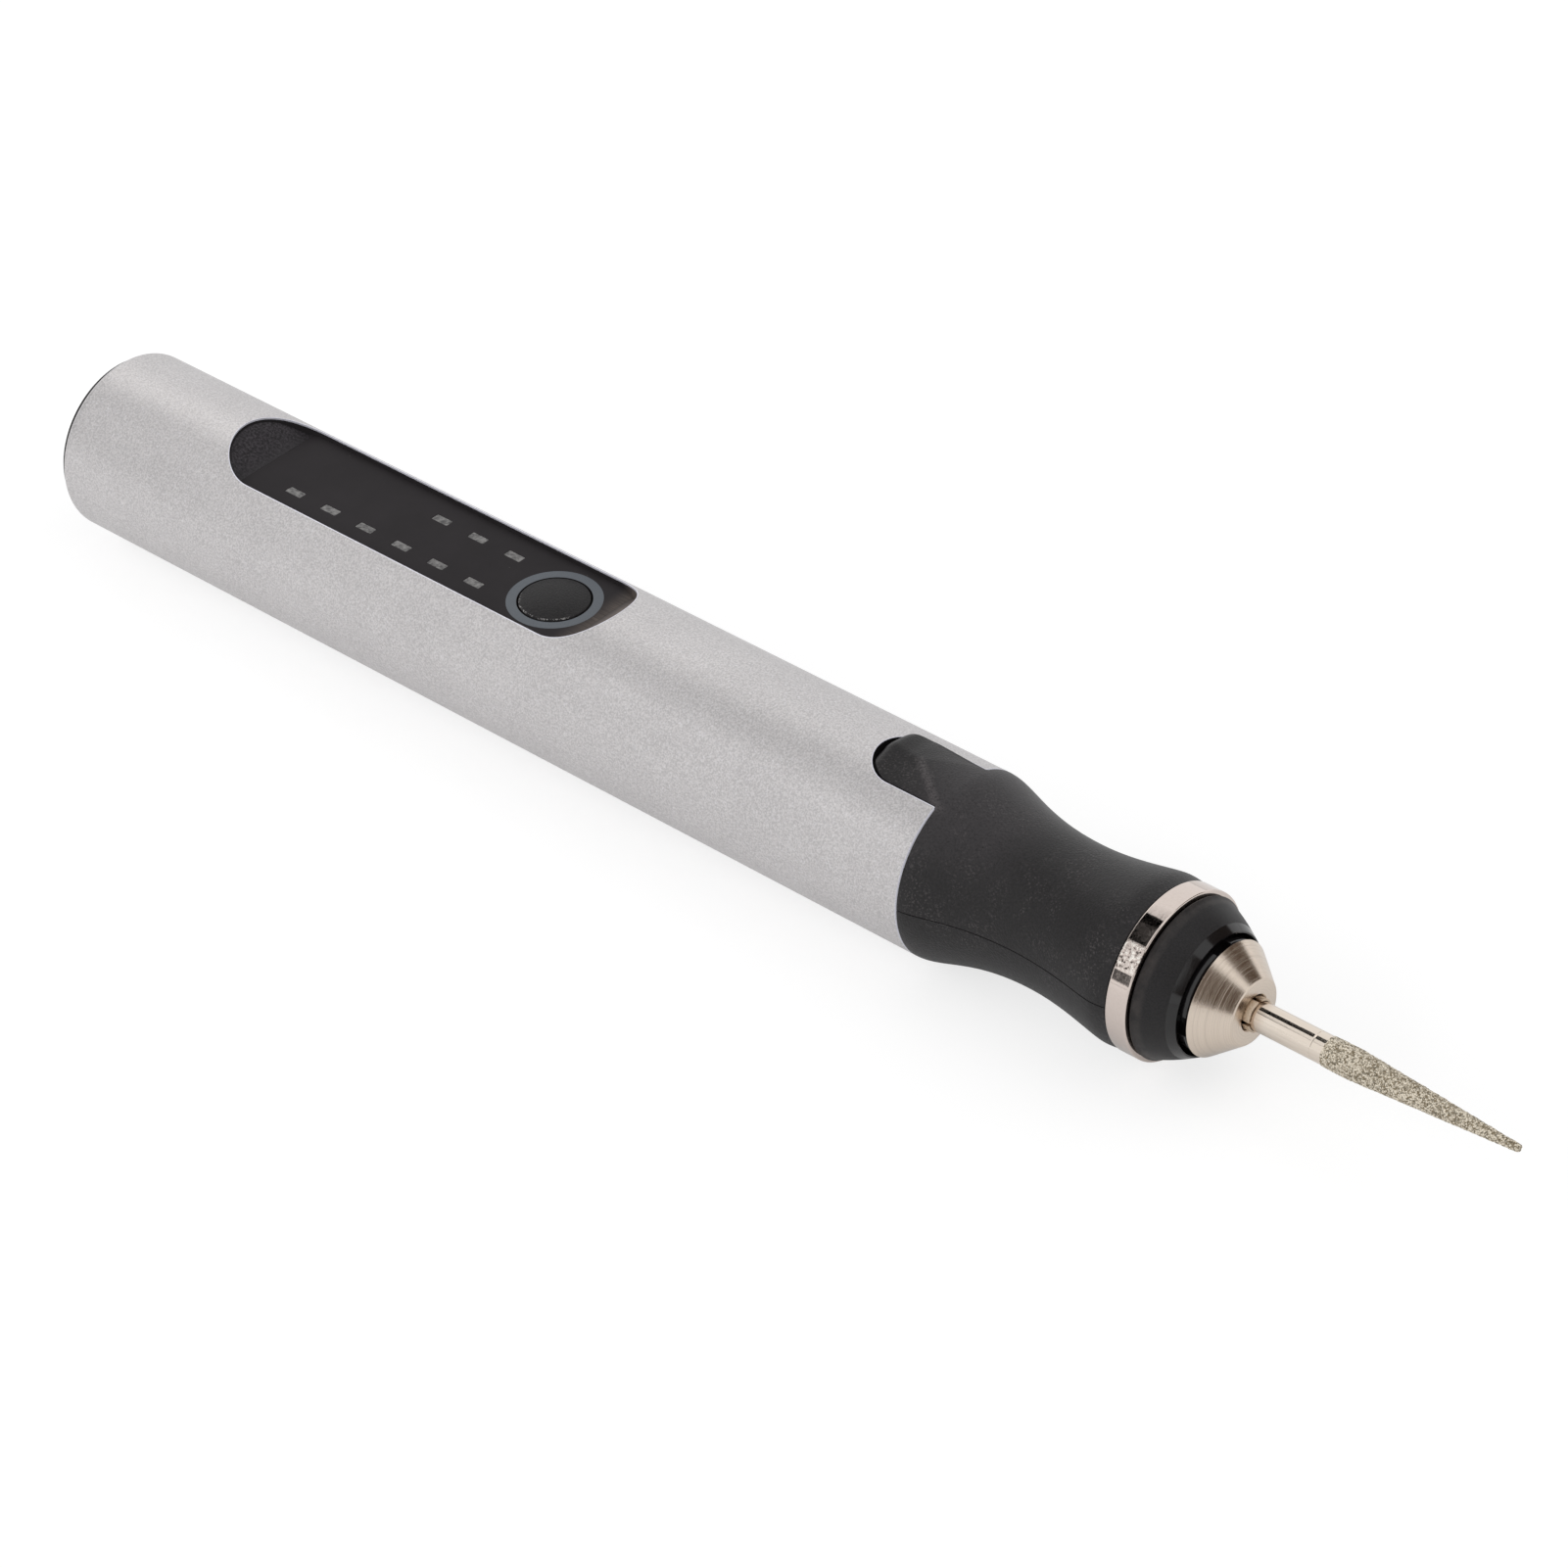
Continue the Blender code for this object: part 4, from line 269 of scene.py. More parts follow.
def noseBlack():
    # the same plastic with a painted highlight band on the shoulder behind, broken up by noise
    paint = mouldedBlack()
    along = paint.parts()[0]
    # painted highlight band round the shoulder
    band = paint.ease(along, 27.55, 27.80) * paint.ease(along, 28.75, 28.25)
    shoulderHighlight = band * paint.ease(paint.grain(1.4), 0.20, 0.80)
    plain = paint.shader.inputs["Base Color"].links[0].from_socket
    paint.set({"Base Color": paint.blend(shoulderHighlight * 0.8, Wire(paint, plain), "3f3a38")})
    return paint


def buttonBlack():
    # coarse grain, and a painted glint along the near edge, broken into short pieces
    paint = Paint(0.0, 0.2)
    along, side, height = paint.parts()
    out = ((along - panel["buttonAt"]) ** 2.0 + side * side) ** 0.5
    # painted glint: a thin ring at the rim's edge on the near side
    edge = paint.ease(out, 3.46, 3.58) * paint.ease(out, 3.72, 3.66) * paint.ease(side, -0.6, -2.4)
    grains = paint.grain(0.22, 3.0, 0.6)
    glintBreaks = paint.ease(paint.grain(0.24, 3.0, 0.7), 0.50, 0.64)
    colour = paint.blend(paint.ease(grains, 0.35, 0.65), "141314", "211f20")
    return paint.coat(paint.blend(edge * glintBreaks, colour, "a8a5a4"), 0.40 + 0.10 * grains, grains, 0.08, 0.8)


def glossBlack():
    paint = Paint()
    swirl = paint.grain(0.6, place=paint.stretched(6.0, 1.0, 1.0))
    return paint.coat(paint.blend(swirl, "0d0c0d", "1c1a1b"), 0.08 + 0.10 * swirl, swirl, 0.01, 0.3)


def lengthwise(paint):
    return paint.grain(0.9, place=paint.stretched(0.25, 6.0, 1.0))


def panelBlack():
    # the bezel: a coarser texture on its sloped ends, and on the front one a pale painted sheen streaked by a faint
    # lengthwise grain
    paint = Paint(0.0, 0.12)
    along = paint.parts()[0]
    coarse = paint.grain(0.26, 4.0, 0.7)
    # painted sheen on the front ramp, streaked by the lengthwise grain
    front = paint.ease(along, -49.0, -46.6) * (lengthwise(paint) * 0.5 + 0.5)
    share = paint.ease(coarse, 0.38, 0.66) * paint.ease(along, -93.5, -97.5, 0.15, 1.0)
    colour = paint.blend(front, paint.blend(share, "282628", "4a464a"), "8a7f78")
    return paint.coat(colour, 0.36 + 0.14 * coarse, coarse, 0.03, 0.5)


def filmBlack():
    # the printed film: fine matt emboss with a few dust specks, and a pale painted sheen streaked lengthwise at its
    # front end
    paint = Paint(0.0, 0.03)
    fine = paint.grain(0.12)
    dust = paint.ease(paint.cells(1.9), 0.035, 0.02)
    # painted sheen at the front end, streaked by the lengthwise grain
    front = paint.ease(paint.parts()[0], -50.4, -47.4) * lengthwise(paint)
    colour = paint.blend(front, paint.blend(paint.grain(5.0), "2b292a", "353234"), "7a7069")
    return paint.coat(paint.blend(dust * 0.4, colour, "77746f"), 0.30 + 0.08 * fine, fine, 0.006, 0.4)


def ringInk():
    paint = Paint(0.0, 0.4)
    fine = paint.grain(0.15)
    return paint.coat(paint.blend(fine, "4b5056", "5b6168"), 0.42 + 0.06 * fine, fine, 0.004, 0.3)


def windowGrey():
    # smoky light guide ends: mottled, with scratches lying aslant
    paint = Paint()
    values = {"Vector": paint.place, "Rotation": (0.0, 0.0, math.radians(38))}
    aslant = paint.node("Mapping", {"vector_type": "POINT"}, values)
    streak = paint.grain(0.6, 4.0, 0.75, paint.stretched(2.2, 0.8, 1.0, place=aslant))
    blotch = paint.grain(0.5)
    share = paint.ease(streak * 0.5 + blotch * 0.5, 0.38, 0.62)
    return paint.coat(paint.blend(share, "2b292a", "7d7b7a"), 0.25 + 0.20 * blotch, streak, 0.02, 0.4)


def nickelPlate():
    # bright plating, faintly warm, with shallow polishing waves and one scuffed patch on the near side, whose
    # crumpled relief is real and whose dark blotches and bright bits are painted reflections and glints
    paint = Paint(1.0)
    haze = paint.grain(0.2)
    side, height = paint.parts()[1:]
    patchAt = math.radians(48)
    towards = (height * math.cos(patchAt) - side * math.sin(patchAt)) * (1 / nose["ringRadius"])
    scuffAndGlints = paint.ease(towards, math.cos(math.radians(10.5)), math.cos(math.radians(7.0)))
    crumple = paint.grain(0.42, 4.0, 0.65)
    colour = paint.blend(haze, "cfc2ba", "ddd1ca")
    # painted reflections in the scuffed patch: dark blotches, then bright glints
    colour = paint.blend(scuffAndGlints * paint.ease(crumple, 0.46, 0.36), colour, "4a433d")
    colour = paint.blend(scuffAndGlints * paint.ease(crumple, 0.50, 0.60), colour, "fbf6ee")
    return paint.coat(colour, 0.05 + 0.06 * haze + 0.08 * scuffAndGlints,
                      paint.grain(0.9, 2.0) * 0.03 + scuffAndGlints * crumple, 0.16, 0.8)


def turnedNickel():
    # fine tool marks that run round the cone
    paint = Paint(1.0)
    along, side, height = paint.parts()
    out = (side * side + height * height) ** 0.5
    lathe = paint.node("CombineXYZ", values={0: along, 1: out, 2: 0.0})
    marks = paint.grain(0.04, 4.0, 0.7, lathe)
    haze = paint.grain(0.8, 2.0)
    groove = paint.ease(paint.grain(0.09, 2.0, place=lathe), 0.56, 0.68)
    colour = paint.blend(groove * 0.18, paint.blend(marks, "c2b1a1", "f2e7da"), "8b7b6e")
    return paint.coat(colour, 0.13 + 0.12 * marks + 0.05 * haze, marks - groove * 0.3, 0.016, 0.5)


def shankSteel():
    # drawn lengthwise, a little heat tinted at the chuck
    paint = Paint(1.0)
    drawn = paint.grain(0.5, place=paint.stretched(0.12, 4.0, 4.0))
    heat = paint.ease(paint.parts()[0], 38.2, 36.2)
    colour = paint.blend(heat * 0.55, paint.blend(drawn, "d8cbbd", "e9dfd3"), "a8896c")
    return paint.coat(colour, 0.05 + 0.07 * drawn, drawn, 0.008, 0.35)


def diamondGrit():
    # bonded grit: every grain has its own shade, a few of them flash
    paint = Paint(0.35)
    shade, small = paint.shades(0.19), paint.shades(0.10, 1)
    gap = paint.cells(0.19)
    colour = paint.blend(paint.ease(shade, 0.1, 0.9), "8a7a60", "fff4e0")
    colour = paint.blend(paint.ease(gap, 0.45, 0.75) * 0.7, colour, "4e4839")
    colour = paint.blend(paint.grain(0.6) * 0.25, colour, "b5a88e")
    flash = paint.ease(small, 0.70, 0.92)
    return paint.coat(paint.blend(flash * 0.9, colour, "fbf0dc"), 0.50 - 0.32 * flash,
                      shade * 0.6 + small * 0.5 - gap * 0.8, 0.10, 0.9)


def colletBronze():
    # the collet's nose, darkened by oil
    paint = Paint(1.0)
    fine = paint.grain(0.25)
    return paint.coat(paint.blend(fine, "a38f79", "dac9b5"), 0.22 + 0.14 * fine, fine, 0.01, 0.4)


def drawnMetal(darker, lighter, roughness, size=0.3):
    paint = Paint(1.0)
    fine = paint.grain(size, 4.0)
    worn = paint.grain(3.0, 2.0)
    colour = paint.blend(fine * 0.6 + worn * 0.4, darker, lighter)
    return paint.coat(colour, roughness + 0.12 * worn, fine, 0.01, 0.4)


def plainPlastic(darker, lighter, roughness, size=0.3):
    paint = Paint()
    fine = paint.grain(size, 4.0)
    colour = paint.blend(paint.ease(fine, 0.3, 0.7), darker, lighter)
    return paint.coat(colour, roughness + 0.08 * fine, fine, 0.01, 0.4)


# what makes each finish, and for the plain ones their tones, roughness and grain size
for maker in (satinSilver, cutMetal, softBlack, mouldedBlack, noseBlack, buttonBlack, glossBlack, panelBlack,
              filmBlack, ringInk, windowGrey, nickelPlate, turnedNickel, shankSteel, diamondGrit, colletBronze):
    recipes[maker.__name__] = [maker]
recipes.update({
    "steelFinish": [drawnMetal, "a3a4a8", "cfd0d3", 0.25],
    "brassFinish": [drawnMetal, "b08a48", "dcb874", 0.23],
    "copperFinish": [drawnMetal, "9c5230", "d07f55", 0.29, 0.15],
    "boardGreen": [plainPlastic, "1c4a30", "2a6340", 0.36, 0.5],
    "ledWhite": [plainPlastic, "d8d6b4", "efeecb", 0.31, 0.2],
    "magnetGrey": [plainPlastic, "55565a", "6c6d71", 0.51, 0.2],
    "cellSleeve": [plainPlastic, "2d5a96", "3b6cab", 0.26, 1.5],
    "leadRed": [plainPlastic, "9c1f1a", "b92c25", 0.38],
    "leadBlack": [plainPlastic, "1d1c1d", "2a292a", 0.38],
})


# modelling helpers, each working on the active object
above = 14.0  # mm over the axis, clear of the tube's skin
weld = 0.0006 * mm


def freshStart():
    if bpy.context.mode != "OBJECT":
        bpy.ops.object.mode_set(mode="OBJECT")
    bpy.ops.object.select_all(action="DESELECT")


def pickOnly(piece):
    freshStart()
    piece.select_set(True)
    bpy.context.view_layer.objects.active = piece


def drawLine(points):
    # one vertex pushed from point to point
    freshStart()
    bpy.ops.mesh.primitive_plane_add(size=mm, location=points[0])
    bpy.ops.object.mode_set(mode="EDIT")
    bpy.ops.mesh.merge(type="CENTER")
    for before, after in zip(points, points[1:]):
        bpy.ops.mesh.extrude_region_move(TRANSFORM_OT_translate={"value": after - before})
    bpy.ops.mesh.select_all(action="SELECT")


def settle(name, smooth):
    # back to object mode with the place kept in the mesh
    bpy.ops.mesh.select_all(action="SELECT")
    bpy.ops.mesh.remove_doubles(threshold=weld)
    bpy.ops.mesh.normals_make_consistent(inside=False)
    bpy.ops.object.mode_set(mode="OBJECT")
    piece = bpy.context.object
    piece.name = name
    piece.data.name = name
    bpy.ops.object.transform_apply(location=True, rotation=True, scale=True)
    bpy.ops.object.shade_smooth_by_angle(angle=math.radians(smooth))
    return piece


def turned(name, profile, sides=180, smooth=30):
    # (along, radius) points spun round the pen's axis
    drawLine([at(along, 0.0, radius) for along, radius in profile])
    bpy.ops.mesh.spin(steps=sides, angle=math.tau, center=at(0), axis=(1, 0, 0))
    return settle(name, smooth)


def turnedUp(name, profile, along, smooth=30):
    # (radius, height) points spun round an upright line
    drawLine([at(along + radius, 0.0, height) for radius, height in profile])
    bpy.ops.mesh.spin(steps=120, angle=math.tau, center=at(along), axis=(0, 0, 1))
    return settle(name, smooth)


def pushedOut(name, outline, view, low, high, smooth=30):
    # a closed outline drawn from the top, side or end and pushed through
    toPoint = {
        "top": lambda a, b, depth: at(a, b, depth),
        "side": lambda a, b, depth: at(a, depth, b),
        "end": lambda a, b, depth: at(depth, a, b),
    }[view]
    drawLine([toPoint(a, b, low) for a, b in outline + outline[:1]])
    bpy.ops.mesh.remove_doubles(threshold=weld)
    bpy.ops.mesh.edge_face_add()
    through = toPoint(0, 0, high) - toPoint(0, 0, low)
    bpy.ops.mesh.extrude_region_move(TRANSFORM_OT_translate={"value": through})
    return settle(name, smooth)


def applied(piece, kind, settings):
    pickOnly(piece)
    modifier = piece.modifiers.new(kind.lower(), kind)
    for key, value in settings.items():
        setattr(modifier, key, value)
    bpy.ops.object.modifier_apply(modifier=modifier.name)


def carve(piece, tool, operation="DIFFERENCE"):
    applied(piece, "BOOLEAN", {"operation": operation, "solver": "EXACT", "object": tool})
    bpy.data.objects.remove(tool)
    bpy.ops.object.shade_smooth_by_angle(angle=math.radians(34))


def rectangle(low, high):
    return [low, (high[0], low[1]), high, (low[0], high[1])]


def cut(piece, outline, low=0.0, high=above, view="top", operation="DIFFERENCE"):
    # drives an outline through the piece
    carve(piece, pushedOut("tool", outline, view, low, high), operation)


def cutRound(piece, outline, rear, front, count, sweep=math.tau):
    # the same cut from the end, repeated round the pen's axis
    for number in range(count):
        tool = pushedOut("tool", outline, "end", rear, front)
        bpy.ops.transform.rotate(value=sweep * number / count, orient_axis="X", center_override=at(0))
        bpy.ops.object.transform_apply(location=True, rotation=True, scale=True)
        carve(piece, tool)


def copiesOf(model, shifts):
    # copies with their own mesh, each moved in mm; the model itself goes
    copies = []
    for shift in shifts:
        copy = model.copy()
        copy.data = model.data.copy()
        link(copy)
        copy.location = Vector(shift) * mm
        pickOnly(copy)
        bpy.ops.object.transform_apply(location=True, rotation=True, scale=True)
        copies.append(copy)
    bpy.data.objects.remove(model)
    return copies


def softEdges(piece, width):
    applied(piece, "BEVEL", {"width": width * mm, "segments": 2, "limit_method": "ANGLE",
                             "angle_limit": math.radians(50), "use_clamp_overlap": True})
    bpy.ops.object.shade_smooth_by_angle(angle=math.radians(40))


def arc(middle, radius, start, end, steps):
    angles = [math.radians(start + (end - start) * step / steps) for step in range(steps + 1)]
    return [(middle[0] + radius * math.cos(angle), middle[1] + radius * math.sin(angle)) for angle in angles]


def flow(start, startPull, endPull, end, steps):
    # points on a Bezier curve
    line = []
    for step in range(steps + 1):
        t = step / steps
        shares = ((1 - t) ** 3, 3 * (1 - t) ** 2 * t, 3 * (1 - t) * t * t, t ** 3)
        points = (start, startPull, endPull, end)
        line.append(tuple(sum(share * point[axis] for share, point in zip(shares, points)) for axis in (0, 1)))
    return line


def stadium(low, high, radius, steps):
    # a rectangle with round corners; its corners may use up its whole width
    middles = rectangle((low[0] + radius, low[1] + radius), (high[0] - radius, high[1] - radius))
    outline = []
    for turn, middle in zip((-90, 0, 90, 180), middles[1:] + middles[:1]):
        outline += arc(middle, radius, turn, turn + 90, steps)
    tidy = [outline[0]]
    for point in outline[1:]:
        if math.dist(point, tidy[-1]) > 0.0005 and math.dist(point, tidy[0]) > 0.0005:
            tidy.append(point)
    return tidy


def wear(piece, *names):
    slots = piece.data.materials
    while len(slots) < len(names):
        slots.append(None)
    for number, name in enumerate(names):
        slots[number] = finish(name)


def fitOut(piece, finishNames, replaced=(), body="housing"):
    wear(piece, *finishNames)
    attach(piece, body)
    if replaced:
        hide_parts(*replaced)


# barrel tube with its panel slot and keyed notch
tube = {"length": 118.4, "wall": 1.0, "rearRounding": 0.75, "frontChamfer": 0.15, "sides": 240,
        "slotRear": -98.994, "slotFront": -44.696, "slotWidth": 12.1,
        "notchLength": 10.12, "notchWidth": 7.65, "mouthRounding": 0.2, "rimWire": 0.055}


def slotOutline(inset, steps=24):
    half = tube["slotWidth"] / 2 - inset
    return stadium((tube["slotRear"] + inset, -half), (tube["slotFront"] - inset, half), half, steps)


def notchOutline(inset, rearInset, mouth):
    half = tube["notchWidth"] / 2 - inset
    rounding = tube["mouthRounding"]
    rear = -tube["notchLength"] + rearInset + half
    outline = [(mouth, -half - rounding), (0.0, -half - rounding)]
    outline += arc((-rounding, -half - rounding), rounding, 0, 90, 4)[1:]
    outline += arc((rear, 0.0), half, -90, -270, 30)
    outline += arc((-rounding, half + rounding), rounding, -90, 0, 4)
    return outline + [(mouth, half + rounding)]


def rimWire(name, outline, closed):
    # a hair-thin bright line along a cut edge, lying on the tube's skin
    skin = tubeRadius - tube["rimWire"] * 0.6
    points = []
    for before, after in zip(outline, outline[1:] + (outline[:1] if closed else [])):
        steps = max(1, int(math.dist(before, after) / 1.5))
        for step in range(steps):
            share = step / steps
            points.append([a + (b - a) * share for a, b in zip(before, after)])
    if not closed:
        points.append(outline[-1])
    freshStart()
    curve = bpy.data.curves.new(name, "CURVE")
    curve.dimensions = "3D"
    curve.bevel_depth = tube["rimWire"] * mm
    curve.bevel_resolution = 1
    curve.use_fill_caps = True
    spline = curve.splines.new("POLY")
    spline.use_cyclic_u = closed
    spline.points.add(len(points) - 1)
    for spot, (along, side) in zip(spline.points, points):
        spot.co = (*at(along, side, math.sqrt(skin ** 2 - side ** 2)), 1.0)
    wire = bpy.data.objects.new(name, curve)
    link(wire)
    pickOnly(wire)
    bpy.ops.object.convert(target="MESH")
    bpy.ops.object.shade_smooth()
    return bpy.context.object


def makeTube():
    rear = -tube["length"]
    bore = tubeRadius - tube["wall"]
    rounding = tube["rearRounding"]
    profile = [(rear, bore)] + arc((rear + rounding, tubeRadius - rounding), rounding, 180, 90, 8)
    chamfer = tube["frontChamfer"]
    profile += [(rear + rounding + 0.4, tubeRadius), (-chamfer, tubeRadius), (0.0, tubeRadius - chamfer),
                (0.0, bore), (rear, bore)]
    barrel = turned("barrelTube", profile, tube["sides"], 30)
    # the notch walls wear the black plastic finish as painted shade in the gap behind the key
    skins = ("satinSilver", "cutMetal", "mouldedBlack")  # outside, slot walls, notch walls
    wear(barrel, *skins)
    for number, outline in enumerate((slotOutline(0.0), notchOutline(0.0, 0.0, 2.0)), 1):
        tool = pushedOut("tool", outline, "top", 0.0, above)
        wear(tool, *skins)
        for face in tool.data.polygons:
            face.material_index = number
        carve(barrel, tool)
    for face in barrel.data.polygons:
        if face.center.x > rimX - chamfer * mm:
            face.material_index = 1
    pickOnly(barrel)
    bpy.ops.object.shade_smooth_by_angle(angle=math.radians(30))
    fitOut(barrel, skins, ["barrel_tube"])
    fitOut(rimWire("slotEdge", slotOutline(0.0), True), ["cutMetal"])
    notch = [point for point in notchOutline(0.0, 0.0, 2.0)[1:-1] if point[0] < -0.05]
    fitOut(rimWire("notchEdge", notch, False), ["cutMetal"])


# grip: two half shells, the upper one with a key that fills the tube's notch
grip = {"length": 24.8, "waistAt": 13.02, "waist": 7.72, "crestAt": 23.2, "crest": 8.95, "front": 8.80,
        "shoulder": 0.18, "fall": 0.58, "rise": 0.47, "swell": 0.145, "faceGap": 0.1, "insert": 8.8,
        "spigotRear": -32.996, "neck": 6.9, "neckFront": 29.0, "seam": 0.5, "seamWidth": 0.1, "sides": 240,
        "clear": 20.0,
        "bore": [(29.0, 5.2), (27.0, 5.2), (27.0, 6.05), (23.3, 6.05), (23.3, 5.4), (7.1, 5.4), (7.1, 5.55),
                 (2.9, 5.55), (2.9, 3.6), (-4.5, 3.6), (-4.5, 3.2), (-5.9, 3.2), (-5.9, 7.9), (-32.996, 7.9)]}
key = {"sideGap": 0.13, "rearGap": 0.45, "proud": 0.42, "crest": 0.73, "sunk": 0.5, "rise": 1.45, "ease": 2.0,
       "leave": 1.0, "arrive": 1.2, "ridgeStart": -5.2, "ridgeEnd": 0.1, "ridgeFall": 0.52, "ridgeRound": 0.15,
       "ridgeSpread": 1.3, "farShare": 0.3, "shapedFrom": -9.9, "shapedOver": 9.2}


def gripCurve():
    gap = grip["faceGap"]
    fall = grip["waistAt"] - gap
    rise = grip["crestAt"] - grip["waistAt"]
    rear = flow((gap, tubeRadius), (gap + fall * grip["shoulder"], tubeRadius),
                (grip["waistAt"] - fall * grip["fall"], grip["waist"]), (grip["waistAt"], grip["waist"]), 40)
    front = flow((grip["waistAt"], grip["waist"]), (grip["waistAt"] + rise * grip["rise"], grip["waist"]),
                 (grip["crestAt"] - rise * grip["swell"], grip["crest"]), (grip["crestAt"], grip["crest"]), 26)
    lip = flow((grip["crestAt"], grip["crest"]), (grip["crestAt"] + 0.6, grip["crest"]),
               (grip["length"] - 0.5, grip["front"] + 0.04), (grip["length"], grip["front"] - 0.02), 6)
    return rear + front[1:] + lip[1:]


def keyCurve():
    # the key's own profile from its rear end to the rim
    rear = -tube["notchLength"] + key["rearGap"]
    crest, top = rear + key["rise"], tubeRadius + key["crest"]
    eased, proud = crest + key["ease"], tubeRadius + key["proud"]
    line = flow((rear, tubeRadius - key["sunk"]), (rear + key["rise"] / 4, tubeRadius),
                (crest - key["rise"] / 2, top), (crest, top), 10)
    line += flow((crest, top), (crest + key["ease"] / 4, top), (crest + key["ease"] / 2, proud),
                 (eased, proud), 10)[1:]
    line += flow((eased, proud), (eased + key["leave"], proud), (-key["arrive"], tubeRadius + 0.05),
                 (grip["faceGap"], tubeRadius), 20)[1:]
    return line


def shapeKey(shell):
    # the key's flanks fall away beside ridges that run from its middle to each mouth corner
    half = tube["notchWidth"] / 2
    rounding = key["ridgeRound"]
    for vertex in shell.data.vertices:
        spot = (vertex.co - at(0)) / mm
        radius = math.hypot(spot.y, spot.z)
        onKey = key["shapedFrom"] < spot.x < grip["faceGap"] - 0.01 and radius > key["shapedOver"]
        if not (onKey and spot.z > 0 and abs(spot.y) < half):
            continue
        share = (spot.x - key["ridgeStart"]) / (key["ridgeEnd"] - key["ridgeStart"])
        over = abs(spot.y) - half * min(1.0, max(0.0, share))
        if over > 0:
            fall = 1 - math.exp((rounding - math.hypot(over, rounding)) / key["ridgeSpread"])
            target = radius - key["ridgeFall"] * fall * (1.0 if spot.y < 0 else key["farShare"])
            vertex.co = at(spot.x, spot.y * target / radius, spot.z * target / radius)


def halve(shell, low, high):
    # takes away the other shell's side of the seam
    block = rectangle((grip["spigotRear"] - 1.0, low), (grip["neckFront"] + 1.0, high))
    cut(shell, block, -grip["clear"], grip["clear"], "side")


def makeGrip():
    insert = grip["insert"]
    bore = grip["bore"]
    head = [(grip["length"], grip["neck"]), (grip["neckFront"], grip["neck"])]
    start = [(grip["spigotRear"], insert)]
    keyRear = -tube["notchLength"] + key["rearGap"] - 1.0
    outer = start + [(keyRear, insert), (keyRear, tubeRadius - key["sunk"])] + keyCurve() + gripCurve()[1:]
    upper = turned("gripUpper", outer + head + bore + start, grip["sides"], 34)
    shapeKey(upper)
    inner = grip["insert"] + 0.02
    ring = rectangle((keyRear - 1.0, inner), (grip["faceGap"], above - 1.0))
    waste = turned("waste", ring + ring[:1], 96)
    cut(waste, notchOutline(key["sideGap"], key["rearGap"], 2.0))
    carve(upper, waste)
    half = grip["seamWidth"] / 2
    halve(upper, -grip["clear"], grip["seam"] + half)
    outer = start + [(grip["faceGap"], insert)] + gripCurve()
    lower = turned("gripLower", outer + head + bore + start, grip["sides"], 34)
    halve(lower, grip["seam"] - half, grip["clear"])
    fitOut(upper, ["softBlack"], ["grip_upper_shell"])
    fitOut(lower, ["softBlack"], ["grip_lower_shell"])


# nose ring and nose cone
nose = {"ringRear": 24.9, "ringFront": 27.3, "ringRadius": 8.9, "bore": 7.1, "edge": 0.15,
        "rear": 27.4, "front": 31.5, "rearRadius": 8.5, "frontRadius": 6.5, "shoulder": 0.3, "bulge": 0.13,
        "mouth": 6.35, "lip": 2.0, "glossFrom": 30.6, "keepFlat": 0.03, "steps": 24}


def makeNose():
    edge = nose["edge"]
    radius = nose["ringRadius"]
    bore = nose["bore"]
    rear, front = nose["ringRear"], nose["ringFront"]
    flat = edge + nose["keepFlat"]  # points beside the rounding keep the band's shading flat
    profile = [(rear, bore)] + arc((rear + edge, radius - edge), edge, 180, 90, 4)
    profile += [(rear + flat, radius), (front - flat, radius)]
    profile += arc((front - edge, radius - edge), edge, 90, 0, 4) + [(front, bore)]
    ring = turned("noseRing", profile + profile[:1], 240, 40)
    fitOut(ring, ["nickelPlate"], ["nose_ring"])
    shoulder = nose["shoulder"]
    rear, front = nose["rear"], nose["front"]
    skin = arc((rear + shoulder, nose["rearRadius"] - shoulder), shoulder, 180, 90, 5)
    for step in range(1, nose["steps"] + 1):
        share = step / nose["steps"]
        radius = nose["rearRadius"] + (nose["frontRadius"] - nose["rearRadius"]) * share
        along = rear + (front - rear) * share
        if along > skin[-1][0] + 0.05:
            skin.append((along, radius + nose["bulge"] * 4 * share * (1 - share)))
    lipRear = front - nose["lip"]
    profile = [(rear, bore)] + skin
    profile += [(front, nose["mouth"]), (lipRear, nose["mouth"]), (lipRear, bore), (rear, bore)]
    cone = turned("noseCone", profile, 240, 34)
    wear(cone, "noseBlack", "glossBlack")
    for face in cone.data.polygons:
        if face.center.x > at(nose["glossFrom"]).x:
            face.material_index = 1
    fitOut(cone, ["noseBlack", "glossBlack"], ["nose_cone"])


# end cap with the charging port
cap = {"radius": tubeRadius - 0.65, "rounding": 0.4, "insert": 8.8, "wall": 1.2, "floor": 2.2, "spigot": 5.5,
       "portWidth": 8.94, "portHeight": 3.26, "portGap": 0.2, "shellWall": 0.3, "shellRecess": 0.6,
       "shellLength": 7.35, "tongueWidth": 6.69, "tongueThickness": 0.7, "contacts": 6,
       "contactWidth": 0.34, "contactFrom": 0.3, "contactTo": 3.5}


def portOutline(grow, steps=10):
    halfWidth = cap["portWidth"] / 2 + grow
    halfHeight = cap["portHeight"] / 2 + grow
    return stadium((-halfWidth, -halfHeight), (halfWidth, halfHeight), halfHeight, steps)


